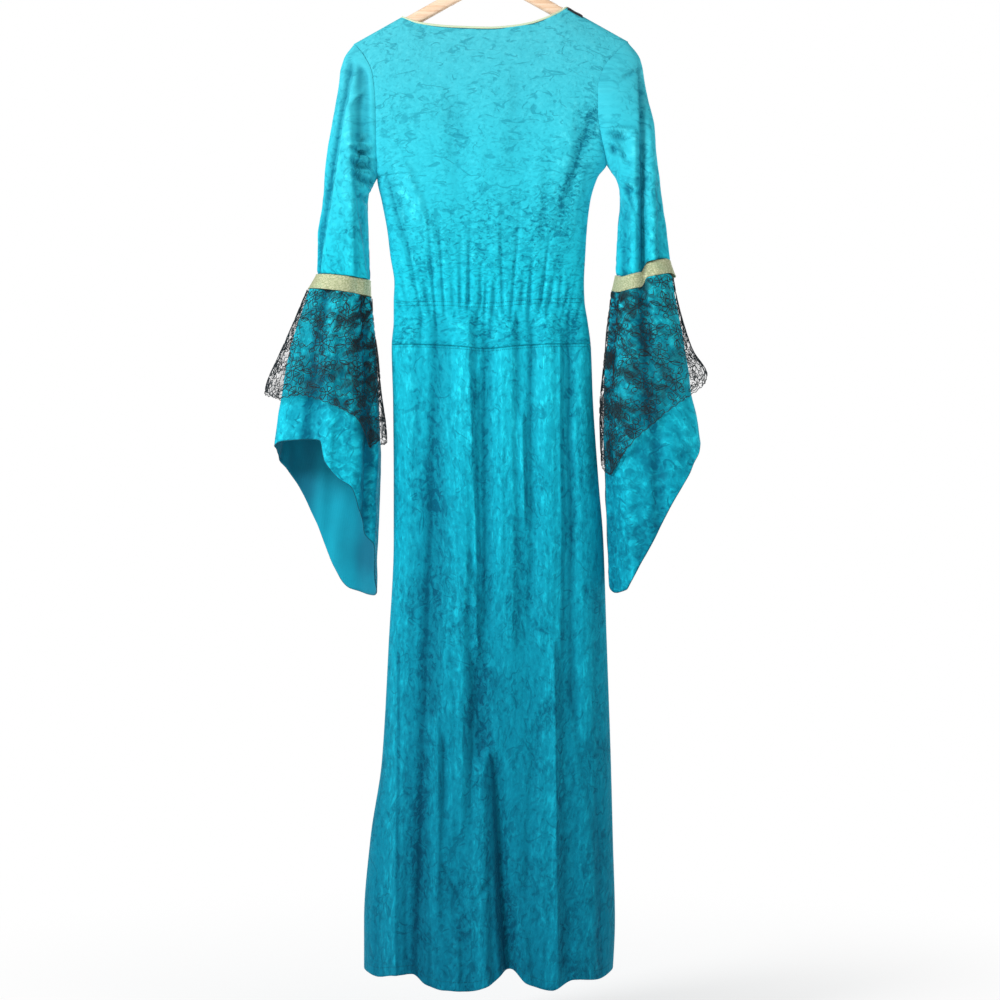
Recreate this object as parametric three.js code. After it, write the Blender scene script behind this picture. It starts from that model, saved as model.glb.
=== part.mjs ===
import * as THREE from 'three';

// Long gown in crushed velvet on a wooden hanger, hung by the hanger's hook.
// Millimetres, +Z up. The wearer's right is +X and the back of the gown faces -Y.
// The origin is the inner crown of the hook, and a drop is a distance below it.
// A row of a table holds one section, fold or point of an outline, from the top down or from -X to +X.

const velvetWall = 1.8;
const laceWall = 1.1;
const bandWall = 1.6;
const bindingWall = 1.0;
const seamGap = 0.3;

// Wooden hanger and the line of the shoulder seams that lie on its arms.
const shoulderCrest = 68;
const shoulderSlope = 0.56;
const slopeLength = Math.hypot(1, shoulderSlope);
const shoulderFold = 9;
const hangerThickness = 12;
const hangerEdge = 4.5;
const hangerClearance = 3.7;
const hangerHeight = 20;
const hangerReach = 186;
const hangerCrown = 4;
const hookWire = 3.6;
const hookRadius = 19;
const hookSeat = -0.8;

// Ends of the shoulder seams, and the armpits.
const tipLeft = -202;
const tipRight = 196;
const neckLeft = -132;
const neckRight = 107;
const armpitLeft = 374;
const armpitRight = 355;
const armholeDepth = 26;
const sideRoundness = 3;

const neckBack = [
  { x: -132, drop: 142 },
  { x: -123, drop: 146 },
  { x: -111, drop: 151 },
  { x: -91, drop: 155 },
  { x: -62, drop: 158 },
  { x: -4, drop: 160 },
  { x: 25, drop: 158 },
  { x: 54, drop: 153 },
  { x: 75, drop: 146 },
  { x: 90, drop: 139 },
  { x: 107, drop: 128 },
];

const neckFront = [
  { x: -132, drop: 142 },
  { x: -120, drop: 165 },
  { x: -100, drop: 184 },
  { x: -65, drop: 200 },
  { x: -12, drop: 207 },
  { x: 40, drop: 200 },
  { x: 75, drop: 182 },
  { x: 95, drop: 158 },
  { x: 107, drop: 128 },
];

const armholeLeft = [
  { drop: 181, x: -202 },
  { drop: 201, x: -187 },
  { drop: 227, x: -175 },
  { drop: 276, x: -170 },
  { drop: 333, x: -169 },
  { drop: 374, x: -168 },
];

const armholeRight = [
  { drop: 178, x: 196 },
  { drop: 198, x: 177 },
  { drop: 218, x: 161 },
  { drop: 250, x: 152 },
  { drop: 284, x: 152 },
  { drop: 317, x: 157 },
  { drop: 355, x: 165 },
];

// The body from the armpits to the hem: both edges and how far back and front stand from the side seams.
const body = [
  { drop: 128, left: -168, right: 165, back: 14, front: 15 },
  { drop: 160, left: -168, right: 165, back: 16, front: 18 },
  { drop: 250, left: -168, right: 165, back: 28, front: 32 },
  { drop: 355, left: -168, right: 165, back: 35, front: 42 },
  { drop: 374, left: -168, right: 152, back: 35, front: 42 },
  { drop: 410, left: -161, right: 141, back: 33, front: 40 },
  { drop: 453, left: -153, right: 136, back: 30, front: 36 },
  { drop: 487, left: -149, right: 134, back: 27, front: 32 },
  { drop: 529, left: -143, right: 132, back: 24, front: 27 },
  { drop: 555, left: -144, right: 133, back: 23, front: 25 },
  { drop: 581, left: -144, right: 137, back: 27, front: 29 },
  { drop: 620, left: -147, right: 142, back: 33, front: 35 },
  { drop: 697, left: -145, right: 145, back: 38, front: 41 },
  { drop: 813, left: -144, right: 153, back: 43, front: 46 },
  { drop: 900, left: -144, right: 160, back: 47, front: 50 },
  { drop: 1045, left: -151, right: 165, back: 53, front: 57 },
  { drop: 1219, left: -161, right: 171, back: 61, front: 65 },
  { drop: 1335, left: -178, right: 174, back: 67, front: 71 },
  { drop: 1451, left: -187, right: 177, back: 72, front: 76 },
  { drop: 1540, left: -187, right: 173, back: 75, front: 79 },
];

const hipSeam = [
  { across: 0, drop: 617 },
  { across: 0.25, drop: 619 },
  { across: 0.47, drop: 624 },
  { across: 0.7, drop: 619 },
  { across: 1, drop: 616 },
];

const hemBack = [
  { across: 0, drop: 1519 },
  { across: 0.06, drop: 1524 },
  { across: 0.12, drop: 1519 },
  { across: 0.2, drop: 1516 },
  { across: 0.25, drop: 1530 },
  { across: 0.32, drop: 1537 },
  { across: 0.42, drop: 1538 },
  { across: 0.5, drop: 1530 },
  { across: 0.59, drop: 1509 },
  { across: 0.65, drop: 1527 },
  { across: 0.75, drop: 1537 },
  { across: 0.84, drop: 1524 },
  { across: 0.94, drop: 1527 },
  { across: 1, drop: 1519 },
];

const hemFront = [
  { across: 0, drop: 1519 },
  { across: 0.2, drop: 1527 },
  { across: 0.4, drop: 1534 },
  { across: 0.58, drop: 1526 },
  { across: 0.8, drop: 1533 },
  { across: 1, drop: 1519 },
];

// Folds: the centre line runs from x to toX between two drops. A height above zero is a ridge and one below
// zero a trough.
const foldsBodiceBack = [
  { x: -171, toX: -112, from: 400, until: 560, height: -6, toHeight: -5, width: 10 },
  { x: -140, toX: -70, from: 330, until: 520, height: 4, toHeight: 3, width: 14 },
  { x: 148, toX: 108, from: 270, until: 575, height: -6, toHeight: -5, width: 11 },
  { x: 118, toX: 84, from: 240, until: 560, height: 4, toHeight: 4, width: 14 },
  { x: -60, toX: -40, from: 230, until: 500, height: -3, toHeight: -3, width: 18 },
  { x: 40, toX: 25, from: 200, until: 480, height: -3, toHeight: -3, width: 20 },
];

const foldsBodiceFront = [
  { x: -150, toX: -90, from: 360, until: 570, height: -5, toHeight: -4, width: 12 },
  { x: 150, toX: 95, from: 340, until: 570, height: -5, toHeight: -4, width: 12 },
  { x: -50, toX: -30, from: 300, until: 560, height: 4, toHeight: 3, width: 22 },
  { x: 45, toX: 30, from: 280, until: 560, height: -3, toHeight: -3, width: 20 },
];

const foldsSkirtBack = [
  { x: -119, toX: -140, from: 560, until: 1700, height: 6, toHeight: 9, width: 17 },
  { x: -76, toX: -110, from: 560, until: 1700, height: -6, toHeight: -10, width: 14 },
  { x: -36, toX: -47, from: 560, until: 1350, height: 7, toHeight: 7, width: 13 },
  { x: -81, toX: -78, from: 1140, until: 1480, height: 7, toHeight: 7, width: 9 },
  { x: -67, toX: -67, from: 1170, until: 1340, height: -5, toHeight: -5, width: 7 },
  { x: -9, toX: -9, from: 580, until: 1080, height: -5, toHeight: -5, width: 9 },
  { x: -19, toX: -19, from: 1050, until: 1250, height: -7, toHeight: -7, width: 11 },
  { x: -16, toX: -5, from: 1200, until: 1700, height: 6, toHeight: 9, width: 11 },
  { x: 0, toX: 30, from: 1190, until: 1700, height: -9, toHeight: -24, width: 9 },
  { x: 25, toX: 27, from: 560, until: 1110, height: 6, toHeight: 5, width: 13 },
  { x: 58, toX: 56, from: 560, until: 1060, height: -6, toHeight: -3, width: 8 },
  { x: 83, toX: 92, from: 560, until: 1700, height: 6, toHeight: 8, width: 14 },
  { x: 112, toX: 116, from: 560, until: 1180, height: -7, toHeight: -4, width: 9 },
  { x: 108, toX: 162, from: 1080, until: 1360, height: -5, toHeight: -5, width: 10 },
  { x: 132, toX: 148, from: 600, until: 1700, height: 4, toHeight: 7, width: 13 },
];

const foldsSkirtFront = [
  { x: -112, toX: -128, from: 560, until: 1700, height: 6, toHeight: 12, width: 20 },
  { x: -76, toX: -92, from: 560, until: 1700, height: -7, toHeight: -16, width: 14 },
  { x: -38, toX: -46, from: 600, until: 1700, height: 6, toHeight: 11, width: 17 },
  { x: 0, toX: -4, from: 640, until: 1700, height: -7, toHeight: -16, width: 14 },
  { x: 42, toX: 46, from: 560, until: 1700, height: 7, toHeight: 12, width: 18 },
  { x: 84, toX: 96, from: 580, until: 1700, height: -7, toHeight: -14, width: 14 },
  { x: 118, toX: 136, from: 600, until: 1700, height: 5, toHeight: 10, width: 16 },
];
const foldFade = 55;

// Elastic gathers at the waist: one column of the grid is a crest and the next a hollow.
const waistDrop = 555;
const gatherHeight = 2.4;
const gatherAbove = 48;
const gatherBelow = 22;

// Across the bodice and skirt: shares of the width where the columns of the grid stand.
const neckShareLeft = (neckLeft - tipLeft) / (tipRight - tipLeft);
const neckShareRight = (neckRight - tipLeft) / (tipRight - tipLeft);
const edgeShares = [0, 0.02, 0.08, 0.19, 0.35, 0.55, 0.77];
const middleColumnsBack = 26;
const middleColumnsFront = 18;
const neckCornerShare = 0.012;

// Down the bodice: shares of the armhole and of the way from the armpit to the hip seam.
const armholeSteps = [0, 0.05, 0.1, 0.2, 0.34, 0.5, 0.66, 0.83, 1];
const waistSteps = [0.22, 0.42, 0.58, 0.69, 0.77, 0.88, 1];
const armholeRows = armholeSteps.length - 1;
const bodiceRows = armholeRows + waistSteps.length;
const skirtRowsBack = 10;
const skirtRowsFront = 8;

// Sleeves: each ring runs from its -X end to its +X end, with its half depth front to back.
const sleeveLeftRings = [
  { down: 0, minusX: -202, minusDrop: 181, plusX: -168, plusDrop: 374, depth: 26 },
  { down: 0.08, minusX: -218, minusDrop: 205, plusX: -174, plusDrop: 386, depth: 33 },
  { down: 0.2, minusX: -223, minusDrop: 250, plusX: -180, plusDrop: 397, depth: 37 },
  { down: 0.32, minusX: -231, minusDrop: 298, plusX: -181, plusDrop: 414, depth: 39 },
  { down: 0.45, minusX: -239, minusDrop: 349, plusX: -181, plusDrop: 436, depth: 40 },
  { down: 0.6, minusX: -246, minusDrop: 407, plusX: -180, plusDrop: 462, depth: 40 },
  { down: 0.8, minusX: -254, minusDrop: 465, plusX: -179, plusDrop: 492, depth: 39 },
  { down: 1, minusX: -255, minusDrop: 515, plusX: -178, plusDrop: 524, depth: 38 },
];

const sleeveRightRings = [
  { down: 0, minusX: 165, minusDrop: 355, plusX: 196, plusDrop: 178, depth: 26 },
  { down: 0.08, minusX: 171, minusDrop: 365, plusX: 215, plusDrop: 204, depth: 33 },
  { down: 0.2, minusX: 179, minusDrop: 377, plusX: 223, plusDrop: 250, depth: 37 },
  { down: 0.32, minusX: 183, minusDrop: 394, plusX: 231, plusDrop: 298, depth: 39 },
  { down: 0.45, minusX: 184, minusDrop: 417, plusX: 238, plusDrop: 349, depth: 40 },
  { down: 0.6, minusX: 181, minusDrop: 446, plusX: 245, plusDrop: 402, depth: 40 },
  { down: 0.8, minusX: 179, minusDrop: 484, plusX: 252, plusDrop: 455, depth: 39 },
  { down: 1, minusX: 178, minusDrop: 516, plusX: 257, plusDrop: 498, depth: 38 },
];

// Folds round a tube: 0 degrees is -X, 90 the back, 180 +X and 270 the front.
const foldsSleeveLeft = [
  { angle: 42, toAngle: 50, height: -4, toHeight: -6, width: 13 },
  { angle: 108, toAngle: 128, height: -4, toHeight: -6, width: 14 },
  { angle: 235, toAngle: 250, height: -5, toHeight: -6, width: 18 },
  { angle: 310, toAngle: 300, height: -4, toHeight: -5, width: 16 },
];

const foldsSleeveRight = [
  { angle: 128, toAngle: 90, height: -4, toHeight: -13, width: 13 },
  { angle: 55, toAngle: 50, height: -3, toHeight: -5, width: 14 },
  { angle: 238, toAngle: 232, height: -5, toHeight: -7, width: 18 },
  { angle: 300, toAngle: 312, height: -4, toHeight: -5, width: 16 },
];

// Gold bands, from the end of the sleeve to the top of the flounces.
const bandLeft = { minusX: -267, minusDrop: 536, plusX: -177, plusDrop: 548, depth: 42 };
const bandRight = { minusX: 173, minusDrop: 539, plusX: 264, plusDrop: 519, depth: 42 };
const bandFoldRight = [{ angle: 92, toAngle: 92, height: -13, toHeight: -11, width: 14 }];
const bandFoldLeft = [{ angle: 128, toAngle: 128, height: -3, toHeight: -3, width: 16 }];

// Flounces: edges and half depth by drop, and the hem by the angle round the sleeve.
const flounceLeft = [
  { drop: 530, minusX: -263, plusX: -179, depth: 38 },
  { drop: 560, minusX: -273, plusX: -178, depth: 40 },
  { drop: 624, minusX: -292, plusX: -175, depth: 45 },
  { drop: 685, minusX: -302, plusX: -172, depth: 49 },
  { drop: 768, minusX: -314, plusX: -170, depth: 55 },
  { drop: 828, minusX: -320, plusX: -171, depth: 58 },
  { drop: 990, minusX: -332, plusX: -173, depth: 64 },
];

const flounceRight = [
  { drop: 510, minusX: 177, plusX: 258, depth: 38 },
  { drop: 552, minusX: 173, plusX: 264, depth: 40 },
  { drop: 624, minusX: 169, plusX: 277, depth: 45 },
  { drop: 690, minusX: 167, plusX: 287, depth: 49 },
  { drop: 752, minusX: 165, plusX: 298, depth: 55 },
  { drop: 813, minusX: 166, plusX: 301, depth: 58 },
  { drop: 990, minusX: 169, plusX: 307, depth: 64 },
];

const laceLeft = [
  { drop: 530, minusX: -268, plusX: -174, depth: 43 },
  { drop: 559, minusX: -280, plusX: -173, depth: 46 },
  { drop: 595, minusX: -294, plusX: -171, depth: 50 },
  { drop: 632, minusX: -309, plusX: -167, depth: 54 },
  { drop: 682, minusX: -328, plusX: -164, depth: 60 },
  { drop: 745, minusX: -334, plusX: -157, depth: 64 },
  { drop: 800, minusX: -337, plusX: -156, depth: 66 },
];

const laceRight = [
  { drop: 510, minusX: 172, plusX: 262, depth: 43 },
  { drop: 552, minusX: 168, plusX: 269, depth: 46 },
  { drop: 590, minusX: 164, plusX: 278, depth: 50 },
  { drop: 624, minusX: 162, plusX: 289, depth: 54 },
  { drop: 661, minusX: 159, plusX: 310, depth: 59 },
  { drop: 712, minusX: 155, plusX: 313, depth: 64 },
  { drop: 760, minusX: 156, plusX: 314, depth: 65 },
  { drop: 810, minusX: 159, plusX: 315, depth: 66 },
];

const flounceHemLeft = [
  { angle: 0, drop: 768 },
  { angle: 40, drop: 756 },
  { angle: 78, drop: 759 },
  { angle: 96, drop: 796 },
  { angle: 121, drop: 828 },
  { angle: 152, drop: 864 },
  { angle: 168, drop: 905 },
  { angle: 182, drop: 962 },
  { angle: 205, drop: 981 },
  { angle: 236, drop: 972 },
  { angle: 257, drop: 940 },
  { angle: 282, drop: 871 },
  { angle: 305, drop: 815 },
  { angle: 330, drop: 788 },
  { angle: 360, drop: 768 },
];

const flounceHemRight = [
  { angle: 0, drop: 950 },
  { angle: 22, drop: 975 },
  { angle: 48, drop: 970 },
  { angle: 72, drop: 925 },
  { angle: 92, drop: 884 },
  { angle: 112, drop: 842 },
  { angle: 135, drop: 802 },
  { angle: 158, drop: 766 },
  { angle: 180, drop: 750 },
  { angle: 212, drop: 772 },
  { angle: 245, drop: 810 },
  { angle: 280, drop: 862 },
  { angle: 315, drop: 915 },
  { angle: 360, drop: 950 },
];

const laceHemLeft = [
  { angle: 0, drop: 684 },
  { angle: 49, drop: 697 },
  { angle: 67, drop: 693 },
  { angle: 98, drop: 705 },
  { angle: 124, drop: 726 },
  { angle: 146, drop: 768 },
  { angle: 170, drop: 752 },
  { angle: 210, drop: 762 },
  { angle: 250, drop: 738 },
  { angle: 300, drop: 704 },
  { angle: 360, drop: 684 },
];

const laceHemRight = [
  { angle: 0, drop: 792 },
  { angle: 26, drop: 806 },
  { angle: 48, drop: 786 },
  { angle: 70, drop: 752 },
  { angle: 92, drop: 727 },
  { angle: 112, drop: 706 },
  { angle: 131, drop: 690 },
  { angle: 153, drop: 672 },
  { angle: 180, drop: 657 },
  { angle: 215, drop: 672 },
  { angle: 255, drop: 712 },
  { angle: 310, drop: 764 },
  { angle: 360, drop: 792 },
];

const wavesFlounceLeft = [
  { angle: 30, toAngle: 28, height: 1, toHeight: 7, width: 16 },
  { angle: 78, toAngle: 74, height: -1, toHeight: -8, width: 15 },
  { angle: 118, toAngle: 122, height: 1, toHeight: 7, width: 16 },
  { angle: 205, toAngle: 200, height: 1, toHeight: 6, width: 18 },
  { angle: 250, toAngle: 252, height: -1, toHeight: -8, width: 18 },
  { angle: 300, toAngle: 305, height: 1, toHeight: 7, width: 18 },
];

const wavesFlounceRight = [
  { angle: 52, toAngle: 56, height: 1, toHeight: 7, width: 16 },
  { angle: 96, toAngle: 100, height: -3, toHeight: -9, width: 15 },
  { angle: 148, toAngle: 150, height: 1, toHeight: 7, width: 16 },
  { angle: 230, toAngle: 226, height: 1, toHeight: 7, width: 18 },
  { angle: 275, toAngle: 278, height: -1, toHeight: -8, width: 18 },
  { angle: 320, toAngle: 322, height: 1, toHeight: 6, width: 18 },
];

const flounceColumns = 26;
const flounceRows = 7;
const laceColumns = 28;
const laceRows = 11;
const laceSeamAngle = 0.0006;

// Binding of the neck edge, and the ribbon of the hanging loop on the right shoulder seam: both lie on the
// first rows of the bodice.
const stripRows = 2;
const stripClearance = 0.1;
const ribbonTo = 130;

const velvetTeal = { color: 0x3fb9cc, roughness: 0.75, metalness: 0 };
const velvetDeep = { color: 0x0f93a8, roughness: 0.75, metalness: 0 };
const bandGold = { color: 0xcfc998, roughness: 0.55, metalness: 0.3 };
const laceBlack = { color: 0x1a2426, roughness: 0.8, metalness: 0 };
const ribbonBlack = { color: 0x16181a, roughness: 0.6, metalness: 0 };
const hangerWood = { color: 0xe3bd93, roughness: 0.55, metalness: 0 };
const hookSteel = { color: 0xb9bcbf, roughness: 0.3, metalness: 1 };

const gown = new THREE.Group();

function addPiece(name, geometry, finish) {
  const mesh = new THREE.Mesh(geometry, new THREE.MeshStandardMaterial(finish));
  mesh.name = name;
  gown.add(mesh);
  return mesh;
}

function mix(from, to, share) {
  return from + (to - from) * share;
}

function clamp(value, low, high) {
  return Math.min(Math.max(value, low), high);
}

function smooth(value) {
  const share = clamp(value, 0, 1);
  return share * share * (3 - 2 * share);
}

// A smooth curve through one column of a table, read by another column.
function follow(table, by, wanted) {
  const at = table.map((row) => row[by]);
  const values = table.map((row) => row[wanted]);
  const slopes = at.slice(1).map((next, i) => (values[i + 1] - values[i]) / (next - at[i]));
  const tangents = at.map((_, i) => {
    const before = slopes[i - 1] ?? slopes[i];
    const after = slopes[i] ?? slopes[i - 1];
    return before * after > 0 ? (2 * before * after) / (before + after) : 0;
  });
  return (wantedAt) => {
    const place = clamp(wantedAt, at[0], at[at.length - 1]);
    const next = at.findIndex((limit, i) => i > 0 && place <= limit);
    const i = next - 1;
    const span = at[next] - at[i];
    const share = (place - at[i]) / span;
    const rise = smooth(share);
    const leave = share * (1 - share) ** 2;
    const arrive = share ** 2 * (share - 1);
    return mix(values[i], values[next], rise) + span * (leave * tangents[i] + arrive * tangents[next]);
  };
}

// A list of shares read at a place between its entries.
function between(list, place) {
  const index = clamp(Math.floor(place), 0, list.length - 2);
  return mix(list[index], list[index + 1], place - index);
}

// A wall on a surface of columns and rows. The surface gives outer points, and rows run down and away from
// the body while columns run from -X over the back to +X over the front, so the outside is rows x columns.
function wall(surface, columns, rows, thickness, options = {}) {
  const { ring = false, lift = 0, isHole = () => false, edgeNormal = (i, j, normal) => normal } = options;
  const step = 0.02;
  const across = ring ? columns : columns + 1;
  const outer = [];
  const inner = [];
  const index = (i, j) => (i % across) * (rows + 1) + j;
  for (let i = 0; i < across; i += 1) {
    for (let j = 0; j <= rows; j += 1) {
      const point = surface(i, j);
      const low = ring ? i - step : Math.max(i - step, 0);
      const high = ring ? i + step : Math.min(i + step, columns);
      const alongColumns = surface(high, j).sub(surface(low, j));
      const alongRows = surface(i, Math.min(j + step, rows)).sub(surface(i, Math.max(j - step, 0)));
      const normal = edgeNormal(i, j, alongRows.cross(alongColumns).normalize());
      outer.push(point.clone().addScaledVector(normal, lift));
      inner.push(point.addScaledVector(normal, lift - thickness));
    }
  }
  const points = [...outer, ...inner];
  const triangles = [];
  const quad = (a, b, c, d) => triangles.push(a, b, c, a, c, d);
  const isThere = (i, j) => {
    const column = ring ? (i + columns) % columns : i;
    return column >= 0 && column < columns && j >= 0 && j < rows && !isHole(column, j);
  };
  const rim = (from, to) => quad(to, from, from + outer.length, to + outer.length);
  for (let i = 0; i < columns; i += 1) {
    for (let j = 0; j < rows; j += 1) {
      if (isThere(i, j)) {
        const corners = [index(i, j), index(i, j + 1), index(i + 1, j + 1), index(i + 1, j)];
        const [a, b, c, d] = corners;
        quad(a, b, c, d);
        quad(a + outer.length, d + outer.length, c + outer.length, b + outer.length);
        if (!isThere(i - 1, j)) rim(a, b);
        if (!isThere(i, j + 1)) rim(b, c);
        if (!isThere(i + 1, j)) rim(c, d);
        if (!isThere(i, j - 1)) rim(d, a);
      }
    }
  }
  const geometry = new THREE.BufferGeometry().setFromPoints(points);
  geometry.setIndex(triangles);
  const loose = geometry.toNonIndexed();
  loose.computeVertexNormals();
  return loose;
}

// A normal without its share along one axis, so that an edge of the wall is cut square to that axis.
function squareTo(normal, axis) {
  const flat = normal.clone();
  flat[axis] = 0;
  return flat.normalize();
}

function foldHeight(folds, x, drop) {
  let height = 0;
  for (const fold of folds) {
    const share = clamp((drop - fold.from) / (fold.until - fold.from), 0, 1);
    const ends = smooth((drop - fold.from) / foldFade) * smooth((fold.until - drop) / foldFade);
    const off = (x - mix(fold.x, fold.toX, share)) / fold.width;
    height += mix(fold.height, fold.toHeight, share) * ends * Math.exp(-off * off);
  }
  return height;
}

function foldRound(folds, degrees, down) {
  let height = 0;
  for (const fold of folds) {
    const away = degrees - mix(fold.angle, fold.toAngle, down);
    const off = (away - 360 * Math.round(away / 360)) / fold.width;
    height += mix(fold.height, fold.toHeight, down) * Math.exp(-off * off);
  }
  return height;
}

const bodyLeft = follow(body, 'drop', 'left');
const bodyRight = follow(body, 'drop', 'right');
const bodyBack = follow(body, 'drop', 'back');
const bodyFront = follow(body, 'drop', 'front');
const hipDrop = follow(hipSeam, 'across', 'drop');
const armholeLeftX = follow(armholeLeft, 'drop', 'x');
const armholeRightX = follow(armholeRight, 'drop', 'x');

function roofDrop(x) {
  return shoulderCrest + shoulderSlope * Math.abs(x);
}

// Half the length of an armhole, from the shoulder tip to the armpit.
const armholeReach = (armpitLeft - roofDrop(tipLeft)) / 2;

// How far the cloth stands from the shoulder seam, at a distance below the hanger's arm.
function coverDepth(below) {
  const reach = Math.max(below, 0) / slopeLength;
  const rounded = Math.min(reach, shoulderFold);
  const overArm = Math.sqrt(shoulderFold ** 2 - (shoulderFold - rounded) ** 2);
  return overArm + 0.4 * Math.max(reach - shoulderFold, 0);
}

function gatherAt(column, drop) {
  const away = drop - waistDrop;
  const reach = away < 0 ? gatherAbove : gatherBelow;
  const uneven = 0.7 + 0.3 * Math.sin(2.3 * column);
  return gatherHeight * uneven * Math.cos(Math.PI * column) * Math.exp(-((away / reach) ** 2));
}

function sharesAcross(middleColumns) {
  const left = edgeShares.map((share) => share * neckShareLeft);
  const right = edgeShares.map((share) => 1 - share * (1 - neckShareRight)).reverse();
  const middle = [];
  for (let i = 0; i <= middleColumns; i += 1) {
    const isCorner = i === 1 || i === middleColumns - 1;
    const share = isCorner ? Math.abs((i === 1 ? 0 : 1) - neckCornerShare) : i / middleColumns;
    middle.push(mix(neckShareLeft, neckShareRight, share));
  }
  return [...left, ...middle, ...right];
}

// One side of the body: back or front, with its columns, its facing along Y and its own outline and folds.
const back = {
  shares: sharesAcross(middleColumnsBack),
  facing: -1,
  depthAt: bodyBack,
  neckDrop: follow(neckBack, 'x', 'drop'),
  hemDrop: follow(hemBack, 'across', 'drop'),
  folds: [...foldsBodiceBack, ...foldsSkirtBack],
  skirtRows: skirtRowsBack,
};
const front = {
  shares: sharesAcross(middleColumnsFront).reverse(),
  facing: 1,
  depthAt: bodyFront,
  neckDrop: follow(neckFront, 'x', 'drop'),
  hemDrop: follow(hemFront, 'across', 'drop'),
  folds: [...foldsBodiceFront, ...foldsSkirtFront],
  skirtRows: skirtRowsFront,
};

function sideShape(across, power) {
  return Math.max(1 - Math.abs(2 * across - 1) ** sideRoundness, 0) ** (1 / power);
}

function topDrop(side, across) {
  const x = mix(tipLeft, tipRight, across);
  const isNeck = x > neckLeft && x < neckRight;
  return isNeck ? side.neckDrop(x) : roofDrop(x);
}

function bodicePlace(side, across, row) {
  const armpit = mix(armpitLeft, armpitRight, across);
  if (row <= armholeRows) {
    const turned = between(armholeSteps, row);
    return mix(topDrop(side, across), armpit, (1 - Math.cos(Math.PI * turned)) / 2);
  }
  const lower = [0, ...waistSteps];
  return mix(armpit, hipDrop(across), between(lower, row - armholeRows));
}

function bodicePoint(side, column, row) {
  const across = between(side.shares, column);
  const drop = bodicePlace(side, across, row);
  const dropLeft = bodicePlace(side, 0, row);
  const dropRight = bodicePlace(side, 1, row);
  const isArmhole = row <= armholeRows;
  const turned = isArmhole ? between(armholeSteps, row) : 1;
  const left = isArmhole ? armholeLeftX(dropLeft) : bodyLeft(dropLeft);
  const right = isArmhole ? armholeRightX(dropRight) : bodyRight(dropRight);
  const x = mix(left, right, across);
  const edge = armholeDepth * Math.sin(Math.PI * turned);
  const shape = sideShape(across, 1 + smooth((turned - 0.3) / 0.7));
  const middle = Math.min(side.depthAt(drop), coverDepth(drop - roofDrop(x)));
  const relief = foldHeight(side.folds, x, drop) + gatherAt(column, drop);
  const depth = mix(edge, middle, shape) + relief * sideShape(across, 1) * smooth(middle / 20);
  return new THREE.Vector3(x, side.facing * (seamGap / 2 + depth), -drop);
}

function armholeNormal(side, row) {
  const turned = Math.PI * between(armholeSteps, row);
  const outward = (side.facing * Math.sin(turned)) / armholeDepth;
  return new THREE.Vector3(0, outward, Math.cos(turned) / armholeReach).normalize();
}

function bodiceNormal(side, i, j, normal) {
  const x = mix(tipLeft, tipRight, side.shares[i]);
  const isNeck = x > neckLeft && x < neckRight;
  const isSide = i === 0 || i === side.shares.length - 1;
  if (isSide && j <= armholeRows) return armholeNormal(side, j);
  if (isSide) return squareTo(normal, 'y');
  if (j === 0 && !isNeck) return squareTo(normal, 'y');
  if (j === 0 || j === bodiceRows) return squareTo(normal, 'z');
  return normal;
}

function bodice(side) {
  const columns = side.shares.length - 1;
  const edgeNormal = (i, j, normal) => bodiceNormal(side, i, j, normal);
  return wall((i, j) => bodicePoint(side, i, j), columns, bodiceRows, velvetWall, { edgeNormal });
}

function skirtPoint(side, column, row) {
  const across = between(side.shares, column);
  const drop = mix(hipDrop(across) + 1.5 * seamGap, side.hemDrop(across), row / side.skirtRows);
  const x = mix(bodyLeft(drop), bodyRight(drop), across);
  const relief = foldHeight(side.folds, x, drop) + gatherAt(column, drop);
  const depth = side.depthAt(drop) * sideShape(across, 2) + relief * sideShape(across, 1);
  return new THREE.Vector3(x, side.facing * (seamGap / 2 + depth), -drop);
}

function skirt(side) {
  const columns = side.shares.length - 1;
  const edgeNormal = (i, j, normal) => {
    if (i === 0 || i === columns) return squareTo(squareTo(normal, 'y'), j === 0 ? 'z' : 'y');
    if (j === 0 || j === side.skirtRows) return squareTo(normal, 'z');
    return normal;
  };
  return wall((i, j) => skirtPoint(side, i, j), columns, side.skirtRows, velvetWall, { edgeNormal });
}

// A point on a tube ring: turned runs from 0 at -X over the back to 1 at +X and to 2 over the front.
function ringPoint(ring, turned, relief) {
  const share = (1 - Math.cos(Math.PI * turned)) / 2;
  const full = Math.sign(Math.sin(Math.PI * turned)) * Math.abs(Math.sin(Math.PI * turned)) ** 0.9;
  const x = mix(ring.minusX, ring.plusX, share) - relief * Math.cos(Math.PI * turned);
  const y = -(ring.depth + relief) * full;
  return new THREE.Vector3(x, y, -mix(ring.minusDrop, ring.plusDrop, share));
}

const sleeveTurns = [...armholeSteps.slice(0, -1), ...armholeSteps.map((turned) => 2 - turned).reverse()];

function turnAt(shoulderIsMinus, column) {
  const turned = between(sleeveTurns, column);
  return shoulderIsMinus ? turned : 1 + turned;
}

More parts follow.
